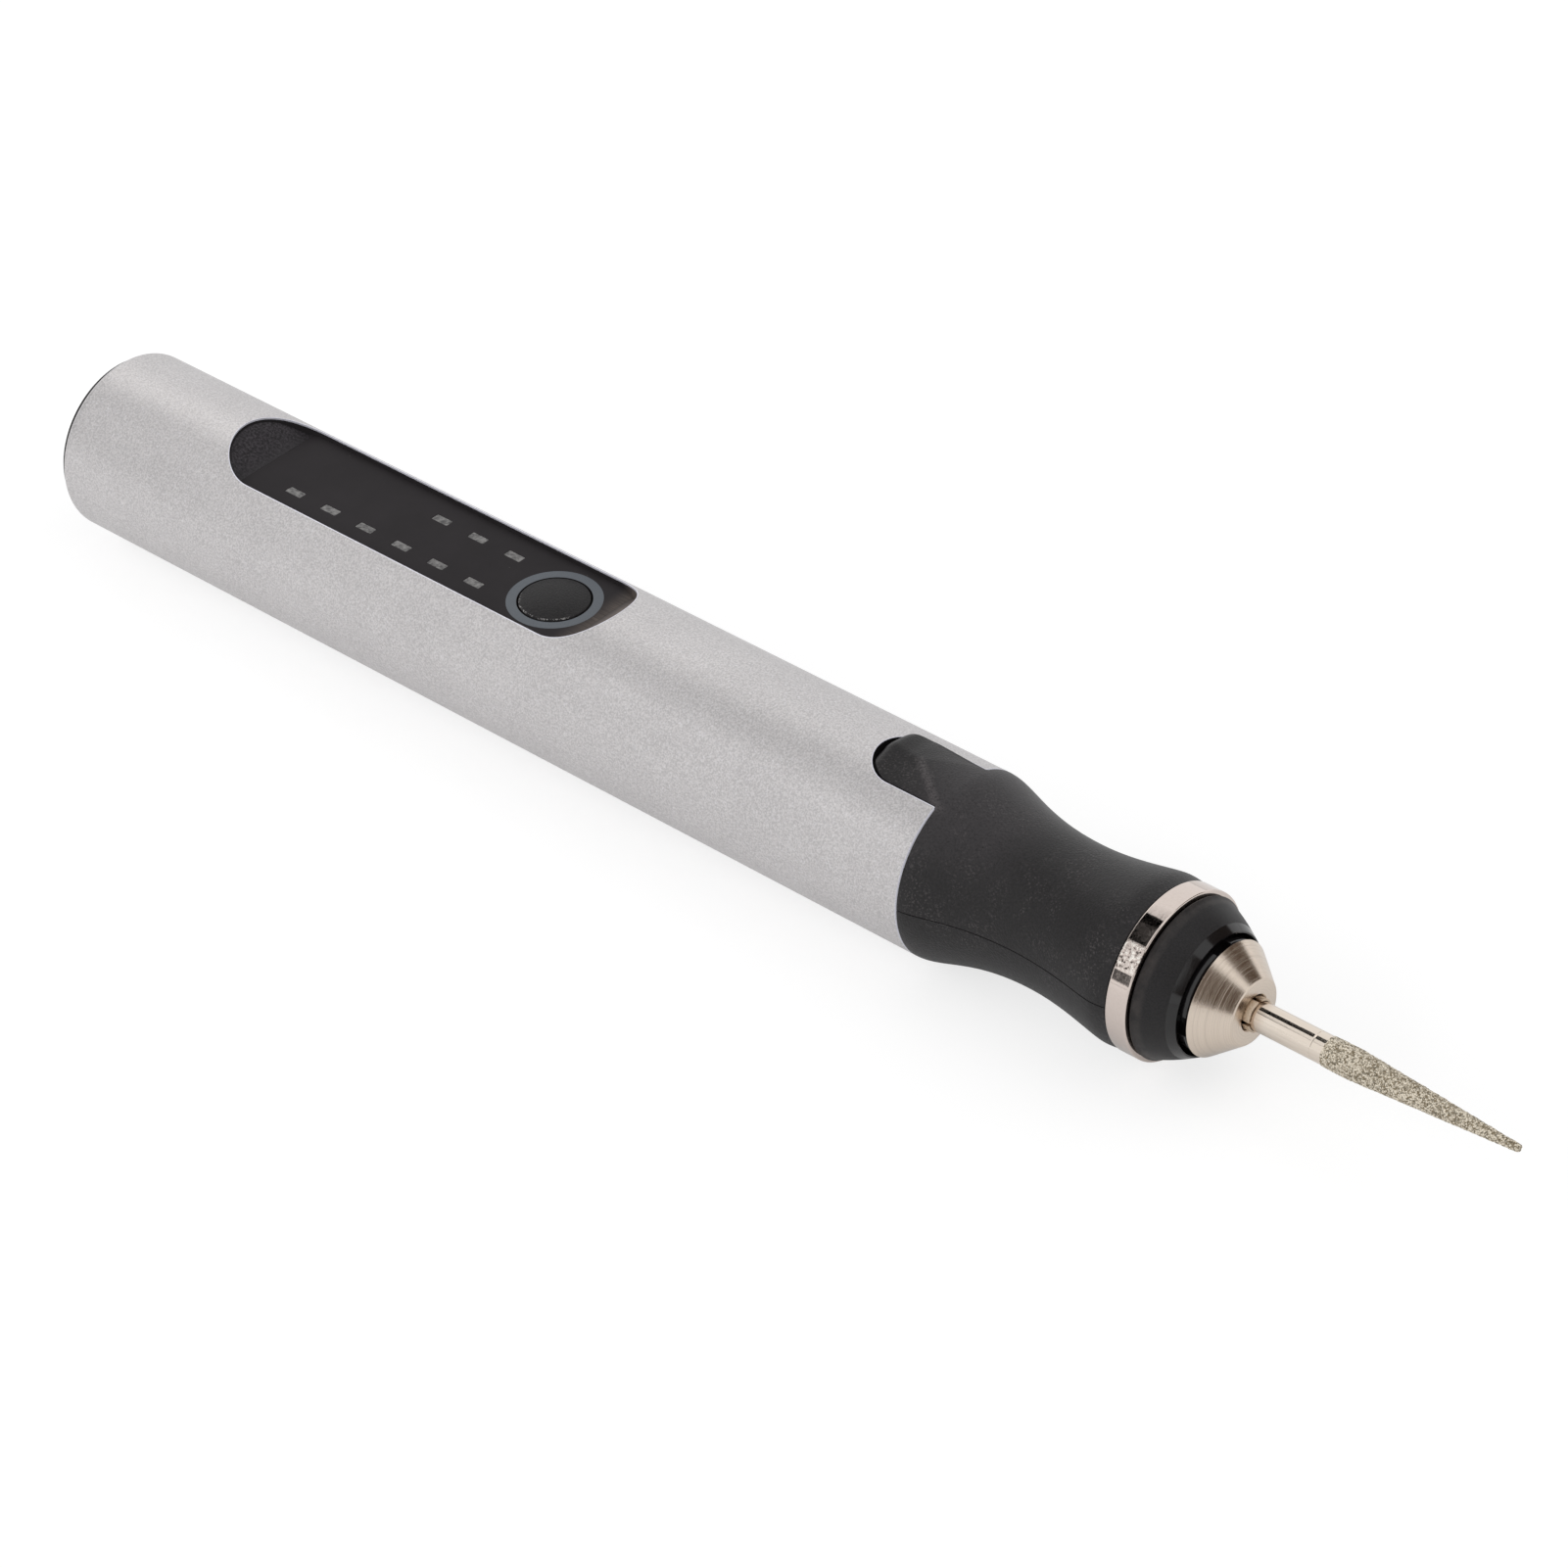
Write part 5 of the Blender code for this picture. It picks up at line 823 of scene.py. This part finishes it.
def makeCap():
    rear = capRear
    rounding = cap["rounding"]
    front = -tube["length"] + cap["spigot"]
    profile = [(rear, 0.0)] + arc((rear + rounding, cap["radius"] - rounding), rounding, 180, 90, 6)
    profile += [(-tube["length"], cap["radius"]), (-tube["length"], cap["insert"]), (front, cap["insert"]),
                (front, cap["insert"] - cap["wall"]), (rear + cap["floor"], cap["insert"] - cap["wall"]),
                (rear + cap["floor"], 0.0)]
    plug = turned("endCap", profile, 180, 34)
    cut(plug, portOutline(cap["portGap"]), rear - 1.0, rear + cap["floor"] + 1.0, "end")
    softEdges(plug, 0.08)
    fitOut(plug, ["mouldedBlack"], ["end_cap"])
    shellRear = rear + cap["shellRecess"]
    shellFront = shellRear + cap["shellLength"]
    shell = pushedOut("chargeShell", portOutline(0.0), "end", shellRear, shellFront, 40)
    cut(shell, portOutline(-cap["shellWall"]), shellRear - 1.0, shellFront - cap["shellWall"], "end")
    softEdges(shell, 0.06)
    fitOut(shell, ["steelFinish"], ["charge_socket"])
    tongueRear, tongueFront = [(corner.x - rimX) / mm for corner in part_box("charge_socket_tongue")]
    halfWidth = cap["tongueWidth"] / 2
    halfThick = cap["tongueThickness"] / 2
    outline = stadium((-halfWidth, -halfThick), (halfWidth, halfThick), 0.2, 4)
    blade = pushedOut("chargeTongue", outline, "end", tongueRear, tongueFront, 40)
    softEdges(blade, 0.08)
    fitOut(blade, ["mouldedBlack"], ["charge_socket_tongue"])
    spread = halfWidth * 1.5
    halfPin = cap["contactWidth"] / 2
    count = cap["contacts"]
    for face, height in (("top", halfThick - 0.02), ("under", -halfThick - 0.03)):
        strip = stadium((-halfPin, height), (halfPin, height + 0.05), 0.02, 1)
        model = pushedOut("pin", strip, "end", tongueRear + cap["contactFrom"], tongueRear + cap["contactTo"])
        shifts = [(0.0, spread * (number / (count - 1) - 0.5), 0.0) for number in range(count)]
        for number, pin in enumerate(copiesOf(model, shifts), 1):
            pin.name = "contact_" + face + "_" + str(number)
            fitOut(pin, ["brassFinish"])


# control panel: light windows, ring print and power button
panel = {"windowLength": 2.2, "windowWidth": 1.0, "pitch": 5.2, "last": -62.696, "row": 3.0,
         "nearCount": 6, "farCount": 3, "windowSink": 0.02, "windowDepth": 0.9, "windowGap": 0.02,
         "ringOuter": 5.0, "ringInner": 3.93, "ringProud": 0.012,
         "buttonAt": -54.126, "buttonRadius": 3.76, "buttonEdge": 0.10, "buttonCrown": 0.40, "buttonRounding": 0.22,
         "flangeRadius": 4.5, "flange": 0.5, "stem": 1.2, "holeRadius": 3.9, "plate": 1.41, "film": 0.2,
         "edgeGap": 0.12, "filmGap": 0.02, "crownSink": 0.42, "gasketRise": 0.42, "rearRamp": 4.2, "frontRamp": 3.5,
         "flangeDrop": 1.4615, "pocketEnd": 3.6, "pocketSide": 1.1, "barHalf": 7.0, "clear": 9.0}


def panelLine():
    # side view of the panel's top: a flat field whose ends curve up to the tube's crown
    crown = tubeRadius - panel["crownSink"]
    rear, front = tube["slotRear"], tube["slotFront"]
    rearFoot, frontFoot = rear + panel["rearRamp"], front - panel["frontRamp"]
    line = flow((rear, crown), (rear + 1.5, crown - 0.75), (rearFoot - 1.5, panelTop), (rearFoot, panelTop), 22)
    line += flow((frontFoot, panelTop), (frontFoot + 1.2, panelTop), (front - 1.3, crown - 0.7), (front, crown), 22)
    return line


def windowSpots():
    rows = ((panel["nearCount"], -panel["row"]), (panel["farCount"], panel["row"]))
    return [(panel["last"] - panel["pitch"] * step, side, 0.0) for count, side in rows for step in range(count)]


def windowPiece(name, grow, low, high):
    halfLong = panel["windowLength"] / 2 + grow
    halfWide = panel["windowWidth"] / 2 + grow
    return pushedOut(name, stadium((-halfLong, -halfWide), (halfLong, halfWide), 0.12, 4), "top", low, high, 40)


def panelHoles(low):
    # one tool that cuts the button's hole and every window
    outline = arc((panel["buttonAt"], 0.0), panel["holeRadius"], 0, 360, 96)[:-1]
    hole = pushedOut("hole", outline, "top", low, above)
    model = windowPiece("hole", panel["windowGap"], low, above)
    copies = copiesOf(model, windowSpots())
    pickOnly(hole)
    for piece in copies:
        piece.select_set(True)
    bpy.ops.object.join()
    return bpy.context.object


def makePanel():
    low = panelTop - panel["plate"]
    half, wide = panel["barHalf"], panel["clear"]
    line = panelLine()
    bezel = pushedOut("panelBezel", [(line[-1][0], low), (line[0][0], low)] + line, "side", -half, half, 40)
    cut(bezel, slotOutline(panel["edgeGap"]), operation="INTERSECT")
    rearFoot = tube["slotRear"] + panel["rearRamp"]
    frontFoot = tube["slotFront"] - panel["frontRamp"]
    cut(bezel, rectangle((rearFoot, -wide), (frontFoot, wide)), panelTop - panel["film"] - 0.02)
    boxLow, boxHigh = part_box("panel_bezel")
    halfWide = (boxHigh.y - boxLow.y) / 2 / mm
    rear, front = (boxLow.x - rimX) / mm, (boxHigh.x - rimX) / mm
    flangeTop = math.sqrt(grip["insert"] ** 2 - halfWide ** 2) - 0.02
    bottom = (boxLow.z - axisZ) / mm
    flange = pushedOut("flange", stadium((rear, -halfWide), (front, halfWide), 1.0, 5), "top", bottom, flangeTop)
    end, side = panel["pocketEnd"], panel["pocketSide"]
    pocket = rectangle((rear + end, -halfWide + side), (front - end, halfWide - side))
    cut(flange, pocket, bottom - 1.0, flangeTop + 1.0)
    carve(bezel, flange, "UNION")
    carve(bezel, panelHoles(low - 1.0))
    fitOut(bezel, ["panelBlack"], ["panel_bezel"])
    # the gasket's top follows the tube's skin, a little below it
    gasket = pushedOut("panelGasket", slotOutline(0.01), "top", panelTop - 0.6, above, 40)
    cut(gasket, slotOutline(panel["edgeGap"] + 0.01))
    inside = math.hypot(tube["slotWidth"] / 2, panelTop + panel["gasketRise"])
    plug = turned("tool", [(-tube["length"], 0.0), (-tube["length"], inside), (0.0, inside), (0.0, 0.0)])
    carve(gasket, plug, "INTERSECT")
    fitOut(gasket, ["filmBlack"])
    outline = slotOutline(panel["edgeGap"] + 0.02)
    film = pushedOut("panelFilm", outline, "top", panelTop - panel["film"], panelTop, 40)
    gap = panel["filmGap"]
    cut(film, rectangle((rearFoot + gap, -wide), (frontFoot - gap, wide)), operation="INTERSECT")
    carve(film, panelHoles(low - 1.0))
    fitOut(film, ["filmBlack"], ["panel_film"])


def makeWindows():
    top = panelTop - panel["windowSink"]
    model = windowPiece("lens", 0.0, top - panel["windowDepth"], top)
    softEdges(model, 0.04)
    lenses = copiesOf(model, windowSpots())
    for number, lens in enumerate(lenses, 1):
        lens.name = "lightWindow_" + str(number)
        replaced = {1: ["light_guide_near"], panel["nearCount"] + 1: ["light_guide_far"]}.get(number, [])
        fitOut(lens, ["windowGrey"], replaced)


def makeButton():
    edge = panelTop + panel["buttonEdge"]
    rounding = panel["buttonRounding"]
    radius = panel["buttonRadius"]
    stemLow = (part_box("power_button")[0].z - axisZ) / mm
    flangeTop = panelTop - panel["flangeDrop"]
    profile = [(0.0, stemLow), (panel["stem"], stemLow), (panel["stem"], flangeTop - panel["flange"]),
               (panel["flangeRadius"], flangeTop - panel["flange"]), (panel["flangeRadius"], flangeTop),
               (radius, flangeTop)]
    profile += arc((radius - rounding, edge - rounding), rounding, 0, 75, 6)
    profile += flow((profile[-1][0], profile[-1][1]), (radius * 0.80, edge + 0.10),
                    (radius * 0.55, edge + panel["buttonCrown"]), (0.0, edge + panel["buttonCrown"]), 16)[1:]
    button = turnedUp("powerButton", profile, panel["buttonAt"], 34)
    fitOut(button, ["buttonBlack"], ["power_button"], body="button_group")
    band = rectangle((panel["ringInner"], panelTop - 0.03), (panel["ringOuter"], panelTop + panel["ringProud"]))
    ink = turnedUp("buttonRing", band + band[:1], panel["buttonAt"])
    fitOut(ink, ["ringInk"])


# chuck: spindle collar, collet nose, cone nut and bit
chuck = {"collarRear": 29.56, "collarFront": 32.16, "collarRadius": 5.9, "collarBore": 4.05, "collarEdge": 0.25,
         "notches": 4, "notchWidth": 2.2, "notchDepth": 0.9, "notchLength": 1.2,
         "nutRear": 32.36, "nutFront": 35.70, "nutRearRadius": 6.1, "nutFrontRadius": 3.45, "nutBore": 1.85,
         "thread": 3.95, "coneRear": 34.03, "coneFront": 35.199, "coneRadius": 3.2, "nutEdge": 0.12}


def makeCollar():
    edge = chuck["collarEdge"]
    profile = [(chuck["collarRear"], chuck["collarBore"]), (chuck["collarRear"], chuck["collarRadius"])]
    profile += arc((chuck["collarFront"] - edge, chuck["collarRadius"] - edge), edge, 90, 0, 4)
    profile += [(chuck["collarFront"], chuck["collarBore"]), profile[0]]
    collar = turned("spindleCollar", profile, 144, 34)
    half = chuck["notchWidth"] / 2
    low = chuck["collarRadius"] - chuck["notchDepth"]
    front = chuck["collarFront"]
    cutRound(collar, rectangle((-half, low), (half, low + 3.0)), front - chuck["notchLength"], front + 1.0,
             chuck["notches"])
    softEdges(collar, 0.1)
    fitOut(collar, ["glossBlack"], ["spindle_collar"], body="spindle_group")


def makeNut():
    edge = chuck["nutEdge"]
    rear, front = chuck["nutRear"], chuck["nutFront"]
    wide, narrow = chuck["nutRearRadius"], chuck["nutFrontRadius"]
    slope = (wide - narrow) / (front - rear)
    profile = [(rear, chuck["thread"]), (rear, wide - edge), (rear + edge * 0.4, wide - edge * 0.35),
               (rear + edge, wide - slope * edge)]
    for step in range(1, 12):
        share = step / 12
        profile.append((rear + (front - rear) * share, wide + (narrow - wide) * share))
    profile += [(front - edge, narrow + slope * edge), (front - edge * 0.35, narrow + edge * 0.1),
                (front, narrow - edge), (front, chuck["nutBore"] + 0.12), (front - 0.12, chuck["nutBore"]),
                (chuck["coneFront"], chuck["nutBore"]), (chuck["coneRear"], chuck["coneRadius"]),
                (chuck["coneRear"], chuck["thread"]), profile[0]]
    nut = turned("chuckNut", profile, 240, 30)
    fitOut(nut, ["turnedNickel"], ["chuck_nut"], body="chuck_nut_group")


collet = {"rear": 25.82, "radius": 2.5, "headRear": 34.21, "headRadius": 2.81, "front": 35.02, "frontRadius": 1.87,
          "nose": 1.75, "noseFront": 36.40, "bore": 1.55, "slit": 0.4, "slitRear": 28.4,
          "slitReach": 3.5, "edge": 0.06}


def makeCollet():
    profile = [(collet["rear"], collet["bore"]), (collet["rear"], collet["radius"]),
               (collet["headRear"], collet["radius"]), (collet["headRear"], collet["headRadius"]),
               (collet["front"], collet["frontRadius"]), (collet["front"], collet["nose"])]
    edge = collet["edge"]
    profile += arc((collet["noseFront"] - edge, collet["nose"] - edge), edge, 90, 0, 3)
    profile += [(collet["noseFront"], collet["bore"]), profile[0]]
    sleeve = turned("collet", profile, 144, 34)
    half, reach = collet["slit"] / 2, collet["slitReach"]
    cutRound(sleeve, rectangle((-reach, -half), (reach, half)), collet["slitRear"], collet["noseFront"] + 1.0,
             2, math.pi)
    fitOut(sleeve, ["colletBronze"], ["collet"], body="collet_group")


bit = {"rear": 21.3, "shank": 1.5, "headRear": 44.5, "headRadius": 1.6, "neck": 1.0, "straight": 3.1, "tip": 66.3,
       "tipRadius": 0.42, "chamfer": 0.3, "ringAt": 43.2, "ringHalf": 0.06, "ringDepth": 0.03, "overlap": 0.9,
       "lift": 0.03, "rows": 190, "grit": 0.11, "relief": (("VORONOI", 0.24, 1.0), ("CLOUDS", 0.13, 0.6))}


def makeBit():
    rear, shank = bit["rear"], bit["shank"]
    ring, half = bit["ringAt"], bit["ringHalf"]
    low, neck, lift = bit["headRear"], bit["neck"], bit["lift"]
    profile = [(rear, 0.0), (rear, shank - bit["chamfer"]), (rear + bit["chamfer"], shank),
               (ring - 2 * half, shank), (ring - half, shank), (ring, shank - bit["ringDepth"]),
               (ring + half, shank), (ring + 2 * half, shank), (low + bit["overlap"], shank),
               (low + bit["overlap"] + 0.2, 0.0)]
    rod = turned("bitShank", profile, 96, 30)
    fitOut(rod, ["shankSteel"], ["engraving_bit"], body="bit_group")
    full = bit["headRadius"] - bit["grit"] * 0.4
    tip, tipRadius = bit["tip"], bit["tipRadius"]
    taperStart = low + bit["straight"]
    tipStart = tip - tipRadius
    profile = [(low, 0.0), (low, shank - 0.12), (low + 0.02, shank + lift)]
    for step in range(1, 7):
        profile.append((low + neck * step / 6, shank + lift + (full - shank - lift) * step / 6))
    for step in range(1, bit["rows"] + 1):
        along = low + neck + (tipStart - low - neck) * step / bit["rows"]
        share = max(0.0, (along - taperStart) / (tipStart - taperStart))
        profile.append((along, full + (tipRadius - lift - full) * share))
    profile += [(tip - 0.2, tipRadius * 0.85), (tip - 0.09, tipRadius * 0.5), (tip - 0.06, 0.0)]
    head = turned("bitHead", profile, 96, 60)
    for kind, size, depth in bit["relief"]:
        texture = bpy.data.textures.new("grit" + kind, kind)
        texture.noise_scale = size * mm
        applied(head, "DISPLACE", {"texture": texture, "strength": bit["grit"] * depth * mm, "mid_level": 0.5,
                                   "texture_coords": "LOCAL"})
    bpy.ops.object.shade_smooth()
    fitOut(head, ["diamondGrit"], body="bit_group")


# finishes of the CAD nodes that stay as they are
kept = {
    "steelFinish": ["switch_body", "board_screw_front", "board_screw_rear", "motor_can", "motor_shaft",
                    "motor_rotor", "spindle", "front_bearing_outer_ring", "rear_bearing_outer_ring",
                    "front_bearing_inner_ring", "rear_bearing_inner_ring"],
    "nickelPlate": ["battery_tab_front", "battery_tab_rear"],
    "brassFinish": ["motor_bush", "motor_terminal_near", "motor_terminal_far", "coupling_sleeve",
                    "front_bearing_balls", "rear_bearing_balls"],
    "copperFinish": ["motor_winding", "commutator"],
    "boardGreen": ["main_board", "charge_board"],
    "ledWhite": ["led_" + str(number) for number in range(1, 10)],
    "magnetGrey": ["motor_magnet_near", "motor_magnet_far"],
    "cellSleeve": ["battery_cell"],
    "leadRed": ["motor_lead_far", "charge_lead_far"],
    "leadBlack": ["motor_lead_near", "charge_lead_near"],
    "mouldedBlack": ["inner_chassis", "motor_end_bell", "switch_plunger"],
}


def dressKept():
    for name, members in kept.items():
        for member in members:
            wear(nodes[member], name)


# studio: white room, soft lamps, and cards that only polished surfaces see
studio = {"ambient": 0.62, "floor": "f7f7f7", "floorSize": 6.0, "floorShare": 0.65, "floorGlow": 0.74,
          "floorInGloss": 0.2, "cardReach": 500, "frontCardsFrom": 34, "frontCardWidth": 260}
# place in mm, size in m and power
lamps = {"key": ((-330, -330, 330), (0.5, 0.22), 1.0), "over": ((150, 200, 520), (0.6, 0.4), 0.45)}
# cards along the pen: degrees from straight up towards the near side, rear and front ends, cloth
sideCards = {
    "cardOver": ((-7, 36), -330, -214, "blackCloth"),
    "cardSide": ((68, 86), -265, -236, "blackCloth"),
    "cardStreak": ((-22, 7), -234, -190, "blackCloth"),
    "cardBack": ((-7, 50), -1300, -580, "blackCloth"),
    "cardLow": ((50, 100), -1300, -560, "blackCloth"),
    "cardGlowHigh": ((-40, -8), -760, -400, "whiteCloth"),
}
# cards ahead of the pen: the two directions from the nut that each is stretched between
frontCards = {
    "cardBehind": ((0.213, 0.937, 0.281), (0.531, 0.412, 0.741)),
    "cardAhead": ((0.634, 0.020, 0.774), (0.650, -0.745, 0.120)),
}
dark = (0.0, 0.0, 0.0, 1.0)


def lamp(name, place, size, power):
    data = bpy.data.lights.new(name, "AREA")
    data.shape = "RECTANGLE"
    data.size, data.size_y = size
    data.energy = power
    made = bpy.data.objects.new(name, data)
    made.visible_glossy = False
    link(made)
    made.location = at(*place)
    made.rotation_euler = (at(0) - made.location).to_track_quat("-Z", "Y").to_euler()


def seenRays(network, inGloss=1.0):
    # 1 for camera and transmission rays, the given share for glossy ones
    direct, glossy, through = [network.node("LightPath", out=number) for number in (0, 3, 6)]
    return direct.maths("MAXIMUM", direct.maths("MAXIMUM", direct, glossy * inGloss), through)


def floorPaper():
    # paper white where it is looked at, with the shadow kept
    paint = Paint(0.0, 0.0)
    seen = seenRays(paint, studio["floorInGloss"])
    lit = paint.blend(paint.grain(25.0), studio["floor"], "ffffff")
    paint.set({"Base Color": paint.blend(seen * studio["floorShare"], lit, dark),
               "Emission Color": paint.blend(seen, dark, (studio["floorGlow"],) * 3 + (1.0,)),
               "Emission Strength": 1.0, "Roughness": 0.9})
    return paint


def cloth(glow, strength):
    paint = Paint(0.0, 0.0)
    paint.set({"Base Color": tone("030303"), "Roughness": 1.0,
               "Emission Color": glow, "Emission Strength": strength})
    return paint


recipes.update({
    "floorPaper": [floorPaper],
    "blackCloth": [cloth, dark, 0.0],
    "whiteCloth": [cloth, (1.0, 0.99, 0.97, 1.0), 1.5],
    "brownCloth": [cloth, tone("524336"), 1.0],
})


def setStudio():
    scene = bpy.context.scene
    scene.view_settings.view_transform = "Standard"
    world = bpy.data.worlds.new("room")
    scene.world = world
    world.use_nodes = True
    background = world.node_tree.nodes["Background"]
    background.inputs["Color"].default_value = (1, 1, 1, 1)
    room = Network(world.node_tree)
    room.plug(background.inputs["Strength"], studio["ambient"] + seenRays(room) * (1.0 - studio["ambient"]))
    freshStart()
    bpy.ops.mesh.primitive_plane_add(size=studio["floorSize"], location=(0, 0, -0.0002))
    floor = bpy.context.object
    floor.name = "floor"
    floor.data.materials.append(finish("floorPaper"))
    for name, (place, size, power) in lamps.items():
        lamp(name, place, size, power)


def card(name, corners, clothName):
    # a flag that only polished surfaces see
    freshStart()
    bpy.ops.mesh.primitive_plane_add(size=1.0, location=(0, 0, 0))
    flag = bpy.context.object
    flag.name = name
    for number, corner in zip((0, 1, 3, 2), corners):
        flag.data.vertices[number].co = corner
    flag.data.materials.append(finish(clothName))
    for ray in ("camera", "diffuse", "shadow", "transmission"):
        setattr(flag, "visible_" + ray, False)


def hangCards():
    reach = studio["cardReach"]
    for name, (angles, rear, front, clothName) in sideCards.items():
        turns = [math.radians(angle) for angle in angles]
        low, high = [(-math.sin(turn) * reach, math.cos(turn) * reach) for turn in turns]
        card(name, [at(rear, *low), at(front, *low), at(front, *high), at(rear, *high)], clothName)
    for name, (start, end) in frontCards.items():
        first, last = Vector(start).normalized(), Vector(end).normalized()
        across = first.cross(last).normalized() * studio["frontCardWidth"] / 2
        corners = [first * reach - across, last * reach - across, last * reach + across, first * reach + across]
        card(name, [at(studio["frontCardsFrom"]) + corner * mm for corner in corners], "brownCloth")


setCamera()
print("camera set")
makeTube()
print("tube done")
makeGrip()
print("grip done")
makeNose()
print("nose done")
makeCap()
print("end cap done")
makePanel()
makeWindows()
makeButton()
print("panel done")
makeCollar()
makeCollet()
makeNut()
makeBit()
print("chuck and bit done")
dressKept()
setStudio()
hangCards()
print("studio set")
